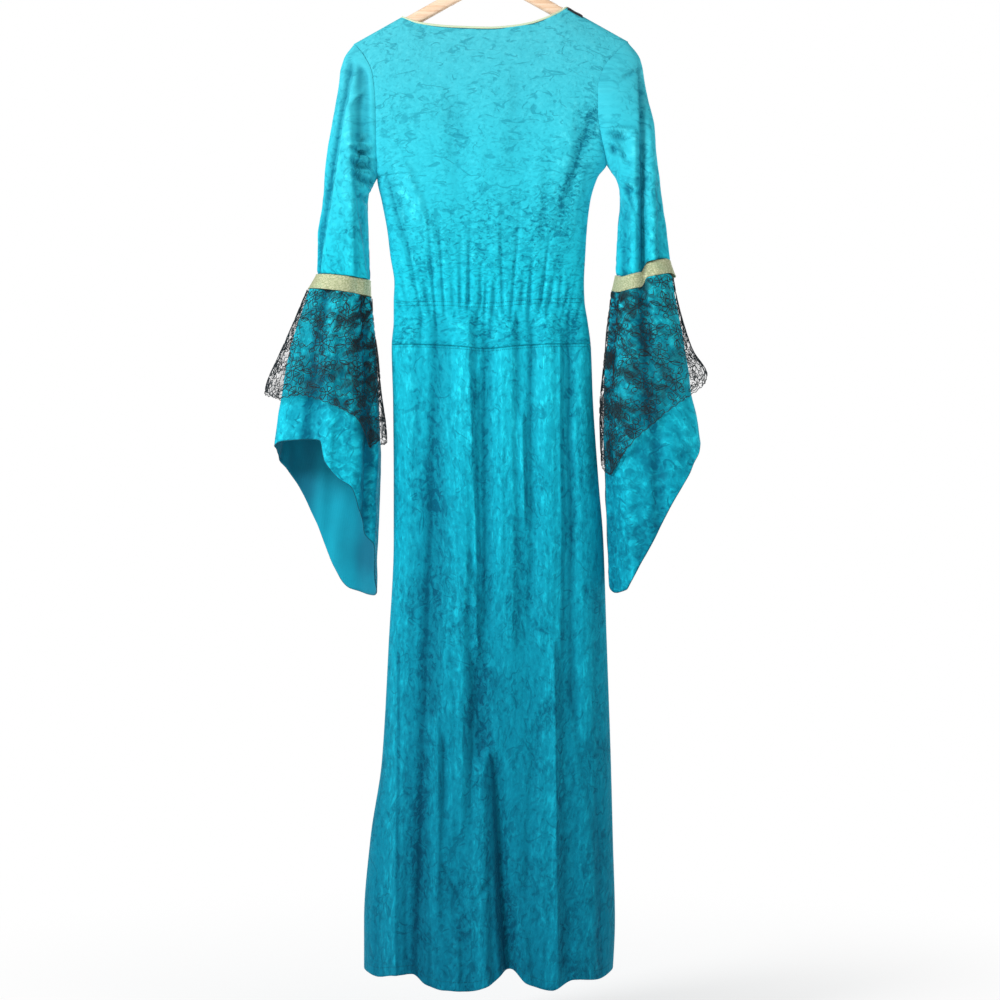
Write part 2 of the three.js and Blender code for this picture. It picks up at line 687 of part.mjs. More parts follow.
function sleeve(rings, folds, armholeX, shoulderIsMinus) {
  const columns = sleeveTurns.length - 1;
  const rows = rings.length + 1;
  const keys = ['minusX', 'minusDrop', 'plusX', 'plusDrop', 'depth'];
  const curves = Object.fromEntries(keys.map((key) => [key, follow(rings, 'down', key)]));
  const outward = shoulderIsMinus ? -1 : 1;
  const downAt = (row) => (row / rows) ** 1.25;
  const point = (column, row) => {
    const down = downAt(row);
    const turned = turnAt(shoulderIsMinus, clamp(column, 0, columns));
    const ring = Object.fromEntries(keys.map((key) => [key, curves[key](down)]));
    const relief = foldRound(folds, 180 * turned, down) * smooth(down / 0.2);
    const place = ringPoint(ring, turned, relief);
    const along = (1 - Math.cos(Math.PI * turned)) / 2;
    const seam = armholeX(mix(rings[0].minusDrop, rings[0].plusDrop, along)) + outward * 2 * seamGap;
    const chord = mix(rings[0].minusX, rings[0].plusX, along);
    place.x += (seam - chord) * (1 - smooth(down / 0.3));
    if (row === 0) place.y = -armholeDepth * Math.sin(Math.PI * turned);
    return place;
  };
  const edgeNormal = (i, j, normal) => {
    const turned = Math.PI * turnAt(shoulderIsMinus, i);
    const up = shoulderIsMinus ? Math.cos(turned) : -Math.cos(turned);
    if (j === 0) return new THREE.Vector3(0, -Math.sin(turned) / armholeDepth, up / armholeReach).normalize();
    if (j === rows) return squareTo(normal, 'z');
    return normal;
  };
  return wall((i, j) => point(i, j), columns, rows, velvetWall, { ring: true, edgeNormal });
}

function band(top, bottom, folds) {
  const columns = 24;
  const rows = 1;
  const point = (column, row) => {
    const share = row / rows;
    const lowered = mix(2 * seamGap, 0, share);
    const ring = {
      minusX: mix(top.minusX, bottom.minusX, share),
      minusDrop: mix(top.minusDrop, bottom.minusDrop, share) + lowered,
      plusX: mix(top.plusX, bottom.plusX, share),
      plusDrop: mix(top.plusDrop, bottom.plusDrop, share) + lowered,
      depth: mix(top.depth, bottom.depth, share),
    };
    const turned = (2 * column) / columns;
    return ringPoint(ring, turned, foldRound(folds, 180 * turned, share));
  };
  const edgeNormal = (i, j, normal) => squareTo(normal, 'z');
  return wall(point, columns, rows, bandWall, { ring: true, edgeNormal });
}

function flouncePoint(rings, hem, waves, top, turned, share) {
  const degrees = 180 * turned;
  const along = (1 - Math.cos(Math.PI * turned)) / 2;
  const start = mix(top.minusDrop, top.plusDrop, along) + 2 * seamGap;
  const drop = mix(start, hem(degrees), share);
  const relief = foldRound(waves, degrees, clamp((drop - start) / 250, 0, 1));
  const ring = {
    minusX: rings.minusX(drop),
    minusDrop: drop,
    plusX: rings.plusX(drop),
    plusDrop: drop,
    depth: rings.depth(drop),
  };
  return ringPoint(ring, turned, relief);
}

function ringCurves(table) {
  const keys = ['minusX', 'plusX', 'depth'];
  return Object.fromEntries(keys.map((key) => [key, follow(table, 'drop', key)]));
}

function velvetFlounce(table, hemTable, waves, top) {
  const rings = ringCurves(table);
  const hem = follow(hemTable, 'angle', 'drop');
  const degreesOf = (column) => (2 * (column + flounceColumns)) / flounceColumns % 2;
  const point = (column, row) => flouncePoint(rings, hem, waves, top, degreesOf(column), row / flounceRows);
  const edgeNormal = (i, j, normal) => (j === 0 ? squareTo(normal, 'z') : normal);
  return wall(point, flounceColumns, flounceRows, velvetWall, { ring: true, edgeNormal });
}

// Half of a lace flounce. Every second cell of every second row is a gap, and the next row of gaps is set
// over by one cell.
function laceHalf(table, hemTable, waves, top, isFront) {
  const rings = ringCurves(table);
  const hem = follow(hemTable, 'angle', 'drop');
  const columns = laceColumns / 2;
  const start = isFront ? 1 : 0;
  const point = (column, row) => {
    const turned = start + mix(laceSeamAngle, 1 - laceSeamAngle, column / columns);
    return flouncePoint(rings, hem, waves, top, turned, row / laceRows);
  };
  const isHole = (column, row) => row % 2 === 1 && column % 2 === (row % 4 === 1 ? 0 : 1)
    && column > 0 && column < columns - 1 && row < laceRows - 1;
  const edgeNormal = (i, j, normal) => {
    if (i === 0 || i === columns) return squareTo(normal, 'y');
    return j === 0 ? squareTo(normal, 'z') : normal;
  };
  return wall(point, columns, laceRows, laceWall, { isHole, edgeNormal });
}

// A narrow strip along the bodice's top edge, made from the bodice's own points and moved out.
function stripOnBodice(side, isInStrip, thickness) {
  const inStrip = side.shares.map((share, i) => (isInStrip(mix(tipLeft, tipRight, share)) ? i : -1));
  const first = inStrip.find((i) => i >= 0);
  const columns = inStrip.filter((i) => i >= 0).length - 1;
  const point = (i, j) => bodicePoint(side, first + i, j);
  const edgeNormal = (i, j, normal) => bodiceNormal(side, first + i, j, normal);
  const lift = thickness + seamGap + stripClearance;
  return wall(point, columns, stripRows, thickness, { edgeNormal, lift });
}

function hangerGeometry() {
  const deep = hangerHeight / slopeLength;
  const middle = (x) => new THREE.Vector3(x, 0, -(roofDrop(x) + hangerClearance + hangerHeight / 2));
  const points = [-1, -0.62, -0.3, 0, 0.3, 0.62, 1].map((share) => middle(share * hangerReach));
  points[3].z -= hangerCrown;
  const section = new THREE.Shape();
  const [halfWide, halfDeep] = [hangerThickness / 2, deep / 2];
  section.moveTo(halfWide, halfDeep - hangerEdge);
  section.lineTo(halfWide - hangerEdge * 0.3, halfDeep - hangerEdge * 0.3);
  section.lineTo(halfWide - hangerEdge, halfDeep);
  section.lineTo(hangerEdge - halfWide, halfDeep);
  section.lineTo(hangerEdge * 0.3 - halfWide, halfDeep - hangerEdge * 0.3);
  section.lineTo(-halfWide, halfDeep - hangerEdge);
  section.lineTo(-halfWide, hangerEdge - halfDeep);
  section.lineTo(hangerEdge - halfWide, -halfDeep);
  section.lineTo(halfWide - hangerEdge, -halfDeep);
  section.lineTo(halfWide, hangerEdge - halfDeep);
  section.closePath();
  return new THREE.ExtrudeGeometry(section, {
    steps: 18,
    extrudePath: new THREE.CatmullRomCurve3(points),
  });
}

function hookGeometry() {
  const centre = -hookRadius;
  const route = hookRadius + hookWire / 2;
  const foot = -(shoulderCrest + hangerClearance) - hangerCrown + hookSeat;
  const points = [
    new THREE.Vector3(0, 0, foot),
    new THREE.Vector3(0, 0, foot + 8),
    new THREE.Vector3(1.5, 0, foot + 15),
  ];
  for (let degrees = -62; degrees <= 205; degrees += 22) {
    const angle = (degrees * Math.PI) / 180;
    points.push(new THREE.Vector3(route * Math.cos(angle), 0, centre + route * Math.sin(angle)));
  }
  const section = new THREE.Shape();
  section.absarc(0, 0, hookWire / 2, 0, 2 * Math.PI, false);
  return new THREE.ExtrudeGeometry(section, {
    steps: 34,
    curveSegments: 4,
    extrudePath: new THREE.CatmullRomCurve3(points),
  });
}

const cuffLeft = sleeveLeftRings[sleeveLeftRings.length - 1];
const cuffRight = sleeveRightRings[sleeveRightRings.length - 1];
const sleeveLeft = sleeve(sleeveLeftRings, foldsSleeveLeft, armholeLeftX, true);
const sleeveRight = sleeve(sleeveRightRings, foldsSleeveRight, armholeRightX, false);
const velvetLeft = velvetFlounce(flounceLeft, flounceHemLeft, wavesFlounceLeft, bandLeft);
const velvetRight = velvetFlounce(flounceRight, flounceHemRight, wavesFlounceRight, bandRight);
const laceHalfLeft = (isFront) => laceHalf(laceLeft, laceHemLeft, wavesFlounceLeft, bandLeft, isFront);
const laceHalfRight = (isFront) => laceHalf(laceRight, laceHemRight, wavesFlounceRight, bandRight, isFront);
const isNeckEdge = (x) => x > neckLeft + 1 && x < neckRight - 1;
const isRibbon = (x) => x > neckRight - 1 && x < ribbonTo;

addPiece('back_bodice', bodice(back), velvetTeal);
addPiece('front_bodice', bodice(front), velvetTeal);
addPiece('back_skirt', skirt(back), velvetDeep);
addPiece('front_skirt', skirt(front), velvetDeep);
addPiece('sleeve_left', sleeveLeft, velvetTeal);
addPiece('sleeve_right', sleeveRight, velvetTeal);
addPiece('band_left', band(cuffLeft, bandLeft, bandFoldLeft), bandGold);
addPiece('band_right', band(cuffRight, bandRight, bandFoldRight), bandGold);
addPiece('flounce_left', velvetLeft, velvetDeep);
addPiece('flounce_right', velvetRight, velvetDeep);
addPiece('lace_left_back', laceHalfLeft(false), laceBlack);
addPiece('lace_left_front', laceHalfLeft(true), laceBlack);
addPiece('lace_right_back', laceHalfRight(false), laceBlack);
addPiece('lace_right_front', laceHalfRight(true), laceBlack);
addPiece('neck_binding_back', stripOnBodice(back, isNeckEdge, bindingWall), bandGold);
addPiece('neck_binding_front', stripOnBodice(front, isNeckEdge, bindingWall), bandGold);
addPiece('ribbon_loop', stripOnBodice(back, isRibbon, bindingWall), ribbonBlack);
addPiece('hanger', hangerGeometry(), hangerWood);
addPiece('hook', hookGeometry(), hookSteel);

export default gown;
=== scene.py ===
# %% [markdown]
# # A velvet gown on its hanger
# The gown hangs from a wooden hanger with its back to the camera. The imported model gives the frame: every
# piece below is made in metres, in that frame, where the origin is the inner crown of the hook.

import math

import bmesh
import bpy
import numpy as np
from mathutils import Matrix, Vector


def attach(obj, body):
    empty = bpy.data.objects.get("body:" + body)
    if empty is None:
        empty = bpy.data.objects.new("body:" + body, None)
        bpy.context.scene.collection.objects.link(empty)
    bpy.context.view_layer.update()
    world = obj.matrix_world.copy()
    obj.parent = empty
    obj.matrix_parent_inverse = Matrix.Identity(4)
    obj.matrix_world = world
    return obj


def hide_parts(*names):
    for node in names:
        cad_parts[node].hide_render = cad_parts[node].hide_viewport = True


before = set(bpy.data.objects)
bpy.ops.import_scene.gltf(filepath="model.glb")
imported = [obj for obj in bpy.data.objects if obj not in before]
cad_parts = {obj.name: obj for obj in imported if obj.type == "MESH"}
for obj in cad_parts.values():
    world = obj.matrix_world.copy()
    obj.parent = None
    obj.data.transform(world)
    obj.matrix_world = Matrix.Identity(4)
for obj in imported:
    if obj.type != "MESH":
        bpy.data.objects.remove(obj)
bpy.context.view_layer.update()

# %% [markdown]
# A hanging gown is drawn best by its sections: how wide it is and how far it stands out, at each distance
# below the hook. Such a distance is called a drop. The tables are in millimetres, one row for each section,
# and a smooth curve runs through each column. The curve never overshoots its rows, so an outline keeps its
# shape.

# %% Tables and smooth curves
MM = 0.001


def table(names, *rows):
    """A table with named columns."""
    return {name: np.array([row[i] for row in rows], float) for i, name in enumerate(names.split())}


def follow(rows, by, wanted):
    """A smooth curve through one column of a table, read by another."""
    at, values = rows[by], rows[wanted]
    slopes = np.diff(values) / np.diff(at)
    before, after = np.r_[slopes[0], slopes], np.r_[slopes, slopes[-1]]
    product, total = before * after, before + after
    tangents = np.where(product > 0, 2 * product / np.where(total == 0, 1, total), 0)

    def read(place):
        place = np.clip(np.asarray(place, float), at[0], at[-1])
        i = np.clip(np.searchsorted(at, place) - 1, 0, len(at) - 2)
        span = at[i + 1] - at[i]
        share = (place - at[i]) / span
        rise = share * share * (3 - 2 * share)
        bend = share * (1 - share) ** 2 * tangents[i] + share ** 2 * (share - 1) * tangents[i + 1]
        return values[i] + (values[i + 1] - values[i]) * rise + span * bend

    return read


def mix(low, high, share):
    return low + (high - low) * share


def smooth(value):
    share = np.clip(value, 0, 1)
    return share * share * (3 - 2 * share)


def near(away, width):
    """1 in one place, and less and less away from it."""
    return np.exp(-(away / width) ** 2)


def half_round(turned):
    """How far across a circle a point is, after a share of half a turn along it."""
    return (1 - np.cos(np.pi * turned)) / 2


# %% [markdown]
# Crushed velvet is never quite even. A small patch of random heights, read smoothly, gives soft dents of
# any size, and it is the same on every run because its numbers come from a fixed seed.

# %% Soft random relief
PATCH = 128
DENTS = np.random.default_rng(7).random((PATCH, PATCH)) - 0.5


def dents(across, along, width, length, layer=0):
    """Soft random heights from -0.5 to 0.5, in cells of the given width and length."""
    x, y = across / width + 17.3 * layer, along / length + 5.9 * layer
    left, top = np.floor(x).astype(int), np.floor(y).astype(int)
    right_share, down_share = smooth(x - left), smooth(y - top)

    def corner(i, j):
        return DENTS[(left + i) % PATCH, (top + j) % PATCH]

    upper = mix(corner(0, 0), corner(1, 0), right_share)
    lower = mix(corner(0, 1), corner(1, 1), right_share)
    return mix(upper, lower, down_share)


# %% [markdown]
# The camera stands level with the middle of the gown, a little over three metres behind it, so that the
# hook is above the picture's edge, as in the photograph. At that distance the picture is 1.45 m wide at the
# gown.

# %% Camera
PICTURE_WIDTH = 1.45
CAMERA_AWAY = 3.2
CAMERA_ACROSS = 0.0102
CAMERA_DROP = 0.842
SENSOR = 36.0

camera_data = bpy.data.cameras.new("camera")
camera_data.sensor_width = SENSOR
camera_data.lens = SENSOR * CAMERA_AWAY / PICTURE_WIDTH
camera = bpy.data.objects.new("camera", camera_data)
camera.location = (CAMERA_ACROSS, -CAMERA_AWAY, -CAMERA_DROP)
camera.rotation_euler = (math.radians(90), 0, 0)
bpy.context.scene.collection.objects.link(camera)
bpy.context.scene.camera = camera
print("camera lens", round(camera_data.lens, 1))

# %% [markdown]
# Every cloth piece starts as a flat grid, as cloth starts on the cutting table. Each of its points has a
# share across and a share down, and a function places it on the hanging form. The lengths along the placed
# cloth give the UV map, in metres, so that the pile and the weave follow it without a stretch. A tube is
# the same grid with its two long edges merged, and its map is measured level and upright, because its rings
# slant. The relief of each point is kept too, and how steeply it rises towards +X, because the velvet's
# colour carries painted shade in the hollows and on the slopes that fall towards +X, and painted light on
# the crests and on the slopes that rise towards +X. A third value is the darkening share, which paints the
# velvet darker: painted shade under the arms, in fold valleys and beside the body, and pile pressed flatter
# elsewhere.

# %% From a flat grid to a hanging cloth
VELVET_THICKNESS = 1.3 * MM
MERGE_DISTANCE = 0.01 * MM
LEAST_STEP, STEEPEST = 0.4, 2


def run_length(lattice, axis):
    """Length along the rows or the columns of placed points, from the middle."""
    steps = np.linalg.norm(np.diff(lattice, axis=axis), axis=2)
    length = np.cumsum(np.insert(steps, 0, 0, axis=axis), axis=axis)
    return length - np.take(length, [length.shape[axis] // 2], axis=axis)


def show(name, mesh):
    """A smooth object of a mesh, in the scene."""
    mesh.shade_smooth()
    piece = bpy.data.objects.new(name, mesh)
    bpy.context.scene.collection.objects.link(piece)
    return piece


def hang(name, columns, rows, place, is_tube=False):
    """A cloth of one layer. place takes shares across and down, and gives points, relief and a darkening
    share.
    """
    grid = bmesh.new()
    bmesh.ops.create_grid(grid, x_segments=columns, y_segments=rows, size=0.5)
    mesh = bpy.data.meshes.new(name)
    grid.to_mesh(mesh)
    grid.free()
    points = np.empty(len(mesh.vertices) * 3)
    mesh.vertices.foreach_get("co", points)
    points = points.reshape(-1, 3)
    across, down = points[:, 0] + 0.5, 0.5 - points[:, 1]
    placed, relief, crushed = place(across, down)
    lattice = placed.reshape(rows + 1, columns + 1, 3)
    level, along = (lattice[..., :2], -lattice[..., 2]) if is_tube else (lattice, run_length(lattice, 0))
    flat_map = np.stack([run_length(level, 1), along], axis=2).reshape(-1, 2) * MM
    corners = np.empty(len(mesh.loops), int)
    mesh.loops.foreach_get("vertex_index", corners)
    mesh.uv_layers.new(name="cloth").data.foreach_set("uv", flat_map[corners].ravel())
    mesh.vertices.foreach_set("co", (placed * MM).ravel())
    mesh.attributes.new("relief", "FLOAT", "POINT").data.foreach_set("value", relief)
    mesh.attributes.new("crushed", "FLOAT", "POINT").data.foreach_set("value", crushed)
    steps = np.gradient(lattice, axis=1)
    width = np.maximum(np.linalg.norm(steps, axis=2), LEAST_STEP) * np.where(steps[..., 0] < 0, -1, 1)
    rise = np.clip(np.gradient(relief.reshape(rows + 1, columns + 1), axis=1) / width, -STEEPEST, STEEPEST)
    mesh.attributes.new("rise", "FLOAT", "POINT").data.foreach_set("value", rise.ravel())
    if is_tube:
        tube = bmesh.new()
        tube.from_mesh(mesh)
        bmesh.ops.remove_doubles(tube, verts=tube.verts, dist=MERGE_DISTANCE)
        tube.to_mesh(mesh)
        tube.free()
    mesh.update()
    return show(name, mesh)


def thicken(piece, thickness, inside_slot=0):
    """Gives a cloth its thickness, inwards from the outer face."""
    wall = piece.modifiers.new("thickness", "SOLIDIFY")
    wall.thickness = thickness
    wall.offset = -1
    wall.material_offset = inside_slot
    wall.material_offset_rim = inside_slot


def finish_piece(piece, nodes=(), materials=()):
    """Puts a finished piece on the gown's one body, with its finish and the solids that it stands for."""
    for material in materials:
        piece.data.materials.append(material)
    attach(piece, "root")
    if nodes:
        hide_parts(*nodes)
    print(piece.name, "faces", len(piece.data.polygons))


# %% [markdown]
# A cloth simulation gives folds of its own, which never fall as those in a photograph do, so here they are
# listed one by one. Each has a centre line that runs from one place across the cloth to another, between two
# drops, and it is a ridge where its height is above zero and a trough where it is below. They differ in
# length, depth and spacing, as the folds of the real gown do. Folds of this cloth lean: each crest falls
# away steeply towards +X and gently towards -X. Every fold fades in at its start and, more slowly, out at
# its end.

# %% Folds
FOLD_COLUMNS = "x to_x start end height to_height width"
FOLD_FADE, WAIST_FADE, CREASE_FADE = 55.0, 30.0, 18.0
LEAN = 0.35


def each_row(rows):
    """The rows of a table, one after another, each with its columns' names."""
    for values in zip(*rows.values()):
        yield dict(zip(rows, values))


def fold_height(folds, x, drop, fade):
    """Folds across a panel, by their place along X."""
    height = np.zeros_like(x)
    for fold in each_row(folds):
        share = np.clip((drop - fold["start"]) / (fold["end"] - fold["start"]), 0, 1)
        last = min(3 * fade, (fold["end"] - fold["start"]) / 2)
        ends = smooth((drop - fold["start"]) / fade) * smooth((fold["end"] - drop) / last)
        off = x - mix(fold["x"], fold["to_x"], share)
        off = off * np.where(off * fold["height"] > 0, 1 + LEAN, 1 - LEAN)
        height += mix(fold["height"], fold["to_height"], share) * ends * near(off, fold["width"])
    return height


TURN_COLUMNS = "angle to_angle height to_height width"


def fold_round(folds, degrees, down):
    """Folds that run down a tube. An angle of 0 is -X, 90 the back, 180 +X and 270 the front."""
    height = np.zeros_like(degrees)
    for fold in each_row(folds):
        away = degrees - mix(fold["angle"], fold["to_angle"], down)
        away = away - 360 * np.round(away / 360)
        height += mix(fold["height"], fold["to_height"], down) * near(away, fold["width"])
    return height


# %% [markdown]
# The body of the gown is a back and a front, each a bodice to the hip seam and a skirt below it. The tables
# hold the edges of the body, how far each side stands out, the neck, the armholes, the hip seam and the
# hem.

# %% Sections and outlines of the body
SHOULDER_CREST, SHOULDER_SLOPE, SHOULDER_FOLD = 68.0, 0.56, 9.0
SLOPE_LENGTH = math.hypot(1, SHOULDER_SLOPE)
TIP_LEFT, TIP_RIGHT, NECK_LEFT, NECK_RIGHT = -202.0, 196.0, -132.0, 107.0
ARMPIT_LEFT, ARMPIT_RIGHT, ARMHOLE_DEPTH = 374.0, 355.0, 26.0
SEAM = 0.3

BODY = table(
    "drop left right back front",
    (128, -168, 165, 14, 15), (160, -168, 165, 16, 18), (250, -168, 165, 28, 32), (355, -168, 165, 35, 42),
    (374, -168, 152, 35, 42), (410, -161, 141, 33, 40), (453, -153, 136, 30, 36), (487, -149, 134, 27, 32),
    (529, -143, 132, 24, 27), (555, -144, 133, 23, 25), (581, -144, 137, 27, 29), (620, -147, 142, 33, 35),
    (697, -145, 145, 38, 41), (813, -144, 153, 43, 46), (900, -144, 160, 47, 50), (1045, -151, 165, 53, 57),
    (1219, -161, 171, 61, 65), (1335, -178, 174, 67, 71), (1451, -187, 177, 72, 76),
    (1540, -187, 173, 75, 79),
)
NECK_BACK = table(
    "x drop",
    (-132, 142), (-123, 146), (-111, 151), (-91, 155), (-62, 158), (-4, 160), (25, 158), (54, 153),
    (75, 146), (90, 139), (107, 128),
)
NECK_FRONT = table(
    "x drop",
    (-132, 142), (-120, 165), (-100, 184), (-65, 200), (-12, 207), (40, 200), (75, 182), (95, 158),
    (107, 128),
)
ARMHOLE_LEFT = table("drop x", (181, -202), (201, -187), (227, -175), (276, -170), (333, -169), (374, -168))
ARMHOLE_RIGHT = table(
    "drop x", (178, 196), (198, 177), (218, 161), (250, 152), (284, 152), (317, 157), (355, 165),
)
HIP_SEAM = table("across drop", (0, 617), (0.25, 619), (0.47, 624), (0.7, 619), (1, 616))
HEM_BACK = table(
    "across drop",
    (0, 1519), (0.06, 1524), (0.12, 1519), (0.2, 1516), (0.25, 1530), (0.32, 1537), (0.42, 1538),
    (0.5, 1530), (0.59, 1509), (0.65, 1527), (0.75, 1537), (0.84, 1524), (0.94, 1527), (1, 1519),
)
HEM_FRONT = table("across drop", (0, 1519), (0.2, 1527), (0.4, 1534), (0.58, 1526), (0.8, 1533), (1, 1519))

body_left, body_right = follow(BODY, "drop", "left"), follow(BODY, "drop", "right")
hip_drop = follow(HIP_SEAM, "across", "drop")
armhole_left, armhole_right = follow(ARMHOLE_LEFT, "drop", "x"), follow(ARMHOLE_RIGHT, "drop", "x")

# %% [markdown]
# The bodice carries the drape folds from the armpits and, at the waist, a row of gathers drawn up by
# elastic. The gathers are worked out by a loop with a fixed seed, so no two are alike: each has its own
# place, depth, width and reach above and below the elastic. Between them the cloth puffs out a little.

# %% Folds and gathers of the bodice
BODICE_FOLDS_BACK = table(
    FOLD_COLUMNS,
    (-158, -100, 345, 560, -8, -6, 8), (-140, -70, 330, 520, 5, 4, 13), (152, 80, 262, 490, -8, -6, 9),
    (118, 84, 240, 560, 4, 4, 14), (-60, -40, 230, 500, -3, -3, 18), (40, 25, 200, 480, -3, -3, 20),
    (-162, -148, 395, 640, 2.5, 2, 6), (-130, -118, 430, 560, 3, 2, 7), (-96, -82, 450, 560, -2.5, -2, 6),
    (136, 104, 330, 500, 4, 3, 8), (138, 124, 330, 640, -2, -2, 5), (-20, -14, 300, 450, 1.5, 1.2, 9),
    (70, 60, 330, 560, 2, 2.5, 7), (10, 4, 380, 560, 2, 2.5, 8),
)
BODICE_FOLDS_FRONT = table(
    FOLD_COLUMNS,
    (-150, -90, 360, 570, -5, -4, 12), (150, 95, 340, 570, -5, -4, 12), (-50, -30, 300, 560, 4, 3, 22),
    (45, 30, 280, 560, -3, -3, 20), (-110, -70, 380, 560, 3, 2, 8), (108, 66, 370, 560, 3, 2, 8),
    (-8, -2, 330, 560, 2, 2, 9),
)
WAIST_DROP = 555.0
GATHER_PITCH = 12.5
GATHER_PUFF, PUFF_ABOVE, PUFF_BELOW = 2.0, 60.0, 20.0


def gathers(seed, left=-140.0, right=131.0):
    """A table of gathers at the waist: place, height, width and reach above and below."""
    random = np.random.default_rng(seed)
    rows = []
    for x in np.arange(left + 8, right, GATHER_PITCH):
        place = x + random.uniform(-3.5, 3.5)
        height, width = -random.uniform(2.6, 5.4), random.uniform(2.6, 4.2)
        above, below = 30 + 85 * random.random() ** 1.6, random.uniform(12, 36)
        rows.append((place, height, width, above, below, random.uniform(-9, 9) - x / 5.5))
    return table("x height width above below lean", *rows)


def gather_height(rows, x, drop):
    height = np.zeros_like(x)
    away = drop - WAIST_DROP
    for row in each_row(rows):
        reach = np.where(away < 0, row["above"], row["below"])
        aside = x - row["x"] - row["lean"] * away / 100
        height += row["height"] * near(aside, row["width"]) * near(away, reach)
    return height + GATHER_PUFF * near(away, np.where(away < 0, PUFF_ABOVE, PUFF_BELOW))


BACK_GATHERS, FRONT_GATHERS = gathers(11), gathers(12)
print("gathers", len(BACK_GATHERS["x"]), len(FRONT_GATHERS["x"]))

# %% [markdown]
# The skirt falls from the hip seam in long soft folds. On the right half they are few and shallow, and near
# the middle one fold deepens downwards and opens to a valley at the hem. Finer creases lie between them.
# Each fold starts, leans and ends at its own place, because folds in even rows would look like a pleated
# curtain.

# %% Folds of the skirt
SKIRT_FOLDS_BACK = table(
    FOLD_COLUMNS,
    (-119, -140, 560, 1700, 6, 9, 17), (-76, -110, 560, 1700, -6, -10, 14), (-36, -47, 560, 1350, 7, 7, 13),
    (-81, -78, 1140, 1480, 7, 7, 9), (-67, -67, 1170, 1340, -5, -5, 7), (-9, -9, 580, 1080, -5, -5, 9),
    (-19, -19, 1050, 1250, -7, -7, 11), (-16, -5, 1200, 1700, 6, 9, 11), (0, 30, 1190, 1700, -9, -24, 8),
    (25, 27, 560, 1110, 6, 5, 13), (58, 56, 560, 1060, -6, -3, 8), (83, 92, 560, 1700, 6, 8, 14),
    (112, 116, 560, 1180, -7, -4, 9), (108, 162, 1080, 1400, -3, -5, 10), (132, 148, 600, 1700, 4, 7, 13),
)
SKIRT_CREASES_BACK = table(
    FOLD_COLUMNS,
    (-103, -103, 562, 640, -3, -2, 4), (-32, -20, 650, 1090, 5, 4, 4), (-21, -33, 690, 800, 3, 3, 4),
    (-33, -19, 905, 990, -3, -3, 3.5), (-42, -18, 925, 1010, 2.4, 2, 4), (43, 44, 710, 900, 5, 4, 3.5),
    (97, 98, 590, 1080, 4, 3.5, 3.5), (14, 10, 640, 1000, 2, 2, 5), (-60, -58, 600, 780, -2.2, -2, 5),
    (-138, -138, 1050, 1560, 5, 4.5, 4), (-156, -166, 1060, 1560, -3, -4, 8),
    (-58, -50, 1050, 1350, -2.4, -2.2, 5), (-30, -29, 1050, 1330, -3, -2.4, 4),
    (88, 94, 1040, 1530, 4.4, 4, 3.4), (66, 84, 1400, 1460, 2.6, 2.4, 3.5),
    (-74, -33, 1350, 1432, -3.5, -3.5, 5), (0, -33, 1370, 1432, -3.5, -3.5, 5),
    (36, 22, 1380, 1490, -3, -4, 8), (118, 130, 700, 1020, 2, 2, 5), (150, 158, 1240, 1560, -2.4, -3, 6),
    (60, 48, 1150, 1420, -2, -2.4, 7), (-124, -120, 1380, 1570, -2.5, -3, 5),
    (-92, -96, 1430, 1570, 2.5, 3, 5), (120, 118, 1460, 1570, 2.5, 3, 5), (44, 56, 1440, 1570, 2.5, 3, 6),
    (-48, -50, 1440, 1570, 2.4, 3, 6), (-20, -24, 562, 600, -4, -2, 3.5), (-52, -56, 562, 590, -3.5, -2, 3),
    (8, 6, 562, 596, -3, -2, 3), (34, 36, 562, 606, -3.5, -2, 3.5), (122, 126, 562, 612, -3, -2, 3.5),
    (-84, -82, 562, 592, -3, -2, 3), (74, 76, 562, 600, 3, 2, 4),
)
SKIRT_FOLDS_FRONT = table(
    FOLD_COLUMNS,
    (-112, -128, 560, 1700, 6, 12, 20), (-76, -92, 560, 1700, -7, -16, 14),
    (-38, -46, 600, 1700, 6, 11, 17), (0, -4, 640, 1700, -7, -16, 14), (42, 46, 560, 1700, 7, 12, 18),
    (84, 96, 580, 1700, -7, -14, 14), (118, 136, 600, 1700, 5, 10, 16),
)
SKIRT_CREASES_FRONT = table(
    FOLD_COLUMNS,
    (-96, -108, 620, 1040, 2.4, 2.4, 5), (-58, -62, 700, 1200, 2.4, 2, 5),
    (-20, -30, 900, 1500, 2.6, 2.4, 5), (20, 30, 640, 1000, 2.2, 2.4, 5), (62, 70, 780, 1380, 2.4, 2.6, 5),
    (104, 120, 700, 1150, 2.2, 2.2, 5), (-130, -150, 1080, 1560, -3, -4, 7),
    (140, 156, 1150, 1560, -3, -4, 7), (10, 24, 1380, 1570, 2.4, 3, 6),
)
FADES = [FOLD_FADE, WAIST_FADE, CREASE_FADE]
FOLDS_BACK = [BODICE_FOLDS_BACK, SKIRT_FOLDS_BACK, SKIRT_CREASES_BACK]
FOLDS_FRONT = [BODICE_FOLDS_FRONT, SKIRT_FOLDS_FRONT, SKIRT_CREASES_FRONT]

BACK = {
    "facing": -1, "depth": follow(BODY, "drop", "back"), "neck": follow(NECK_BACK, "x", "drop"),
    "hem": follow(HEM_BACK, "across", "drop"), "folds": FOLDS_BACK, "gathers": BACK_GATHERS,
}
FRONT = {
    "facing": 1, "depth": follow(BODY, "drop", "front"), "neck": follow(NECK_FRONT, "x", "drop"),
    "hem": follow(HEM_FRONT, "across", "drop"), "folds": FOLDS_FRONT, "gathers": FRONT_GATHERS,
}
DENT_CHANGE_DROP, DENT_FULL_DROP = 540.0, 680.0
WAIST_GROOVE, HIP_GROOVE = 1.8, 1.5
PUCKER, PUCKER_REACH = 2.0, 26.0


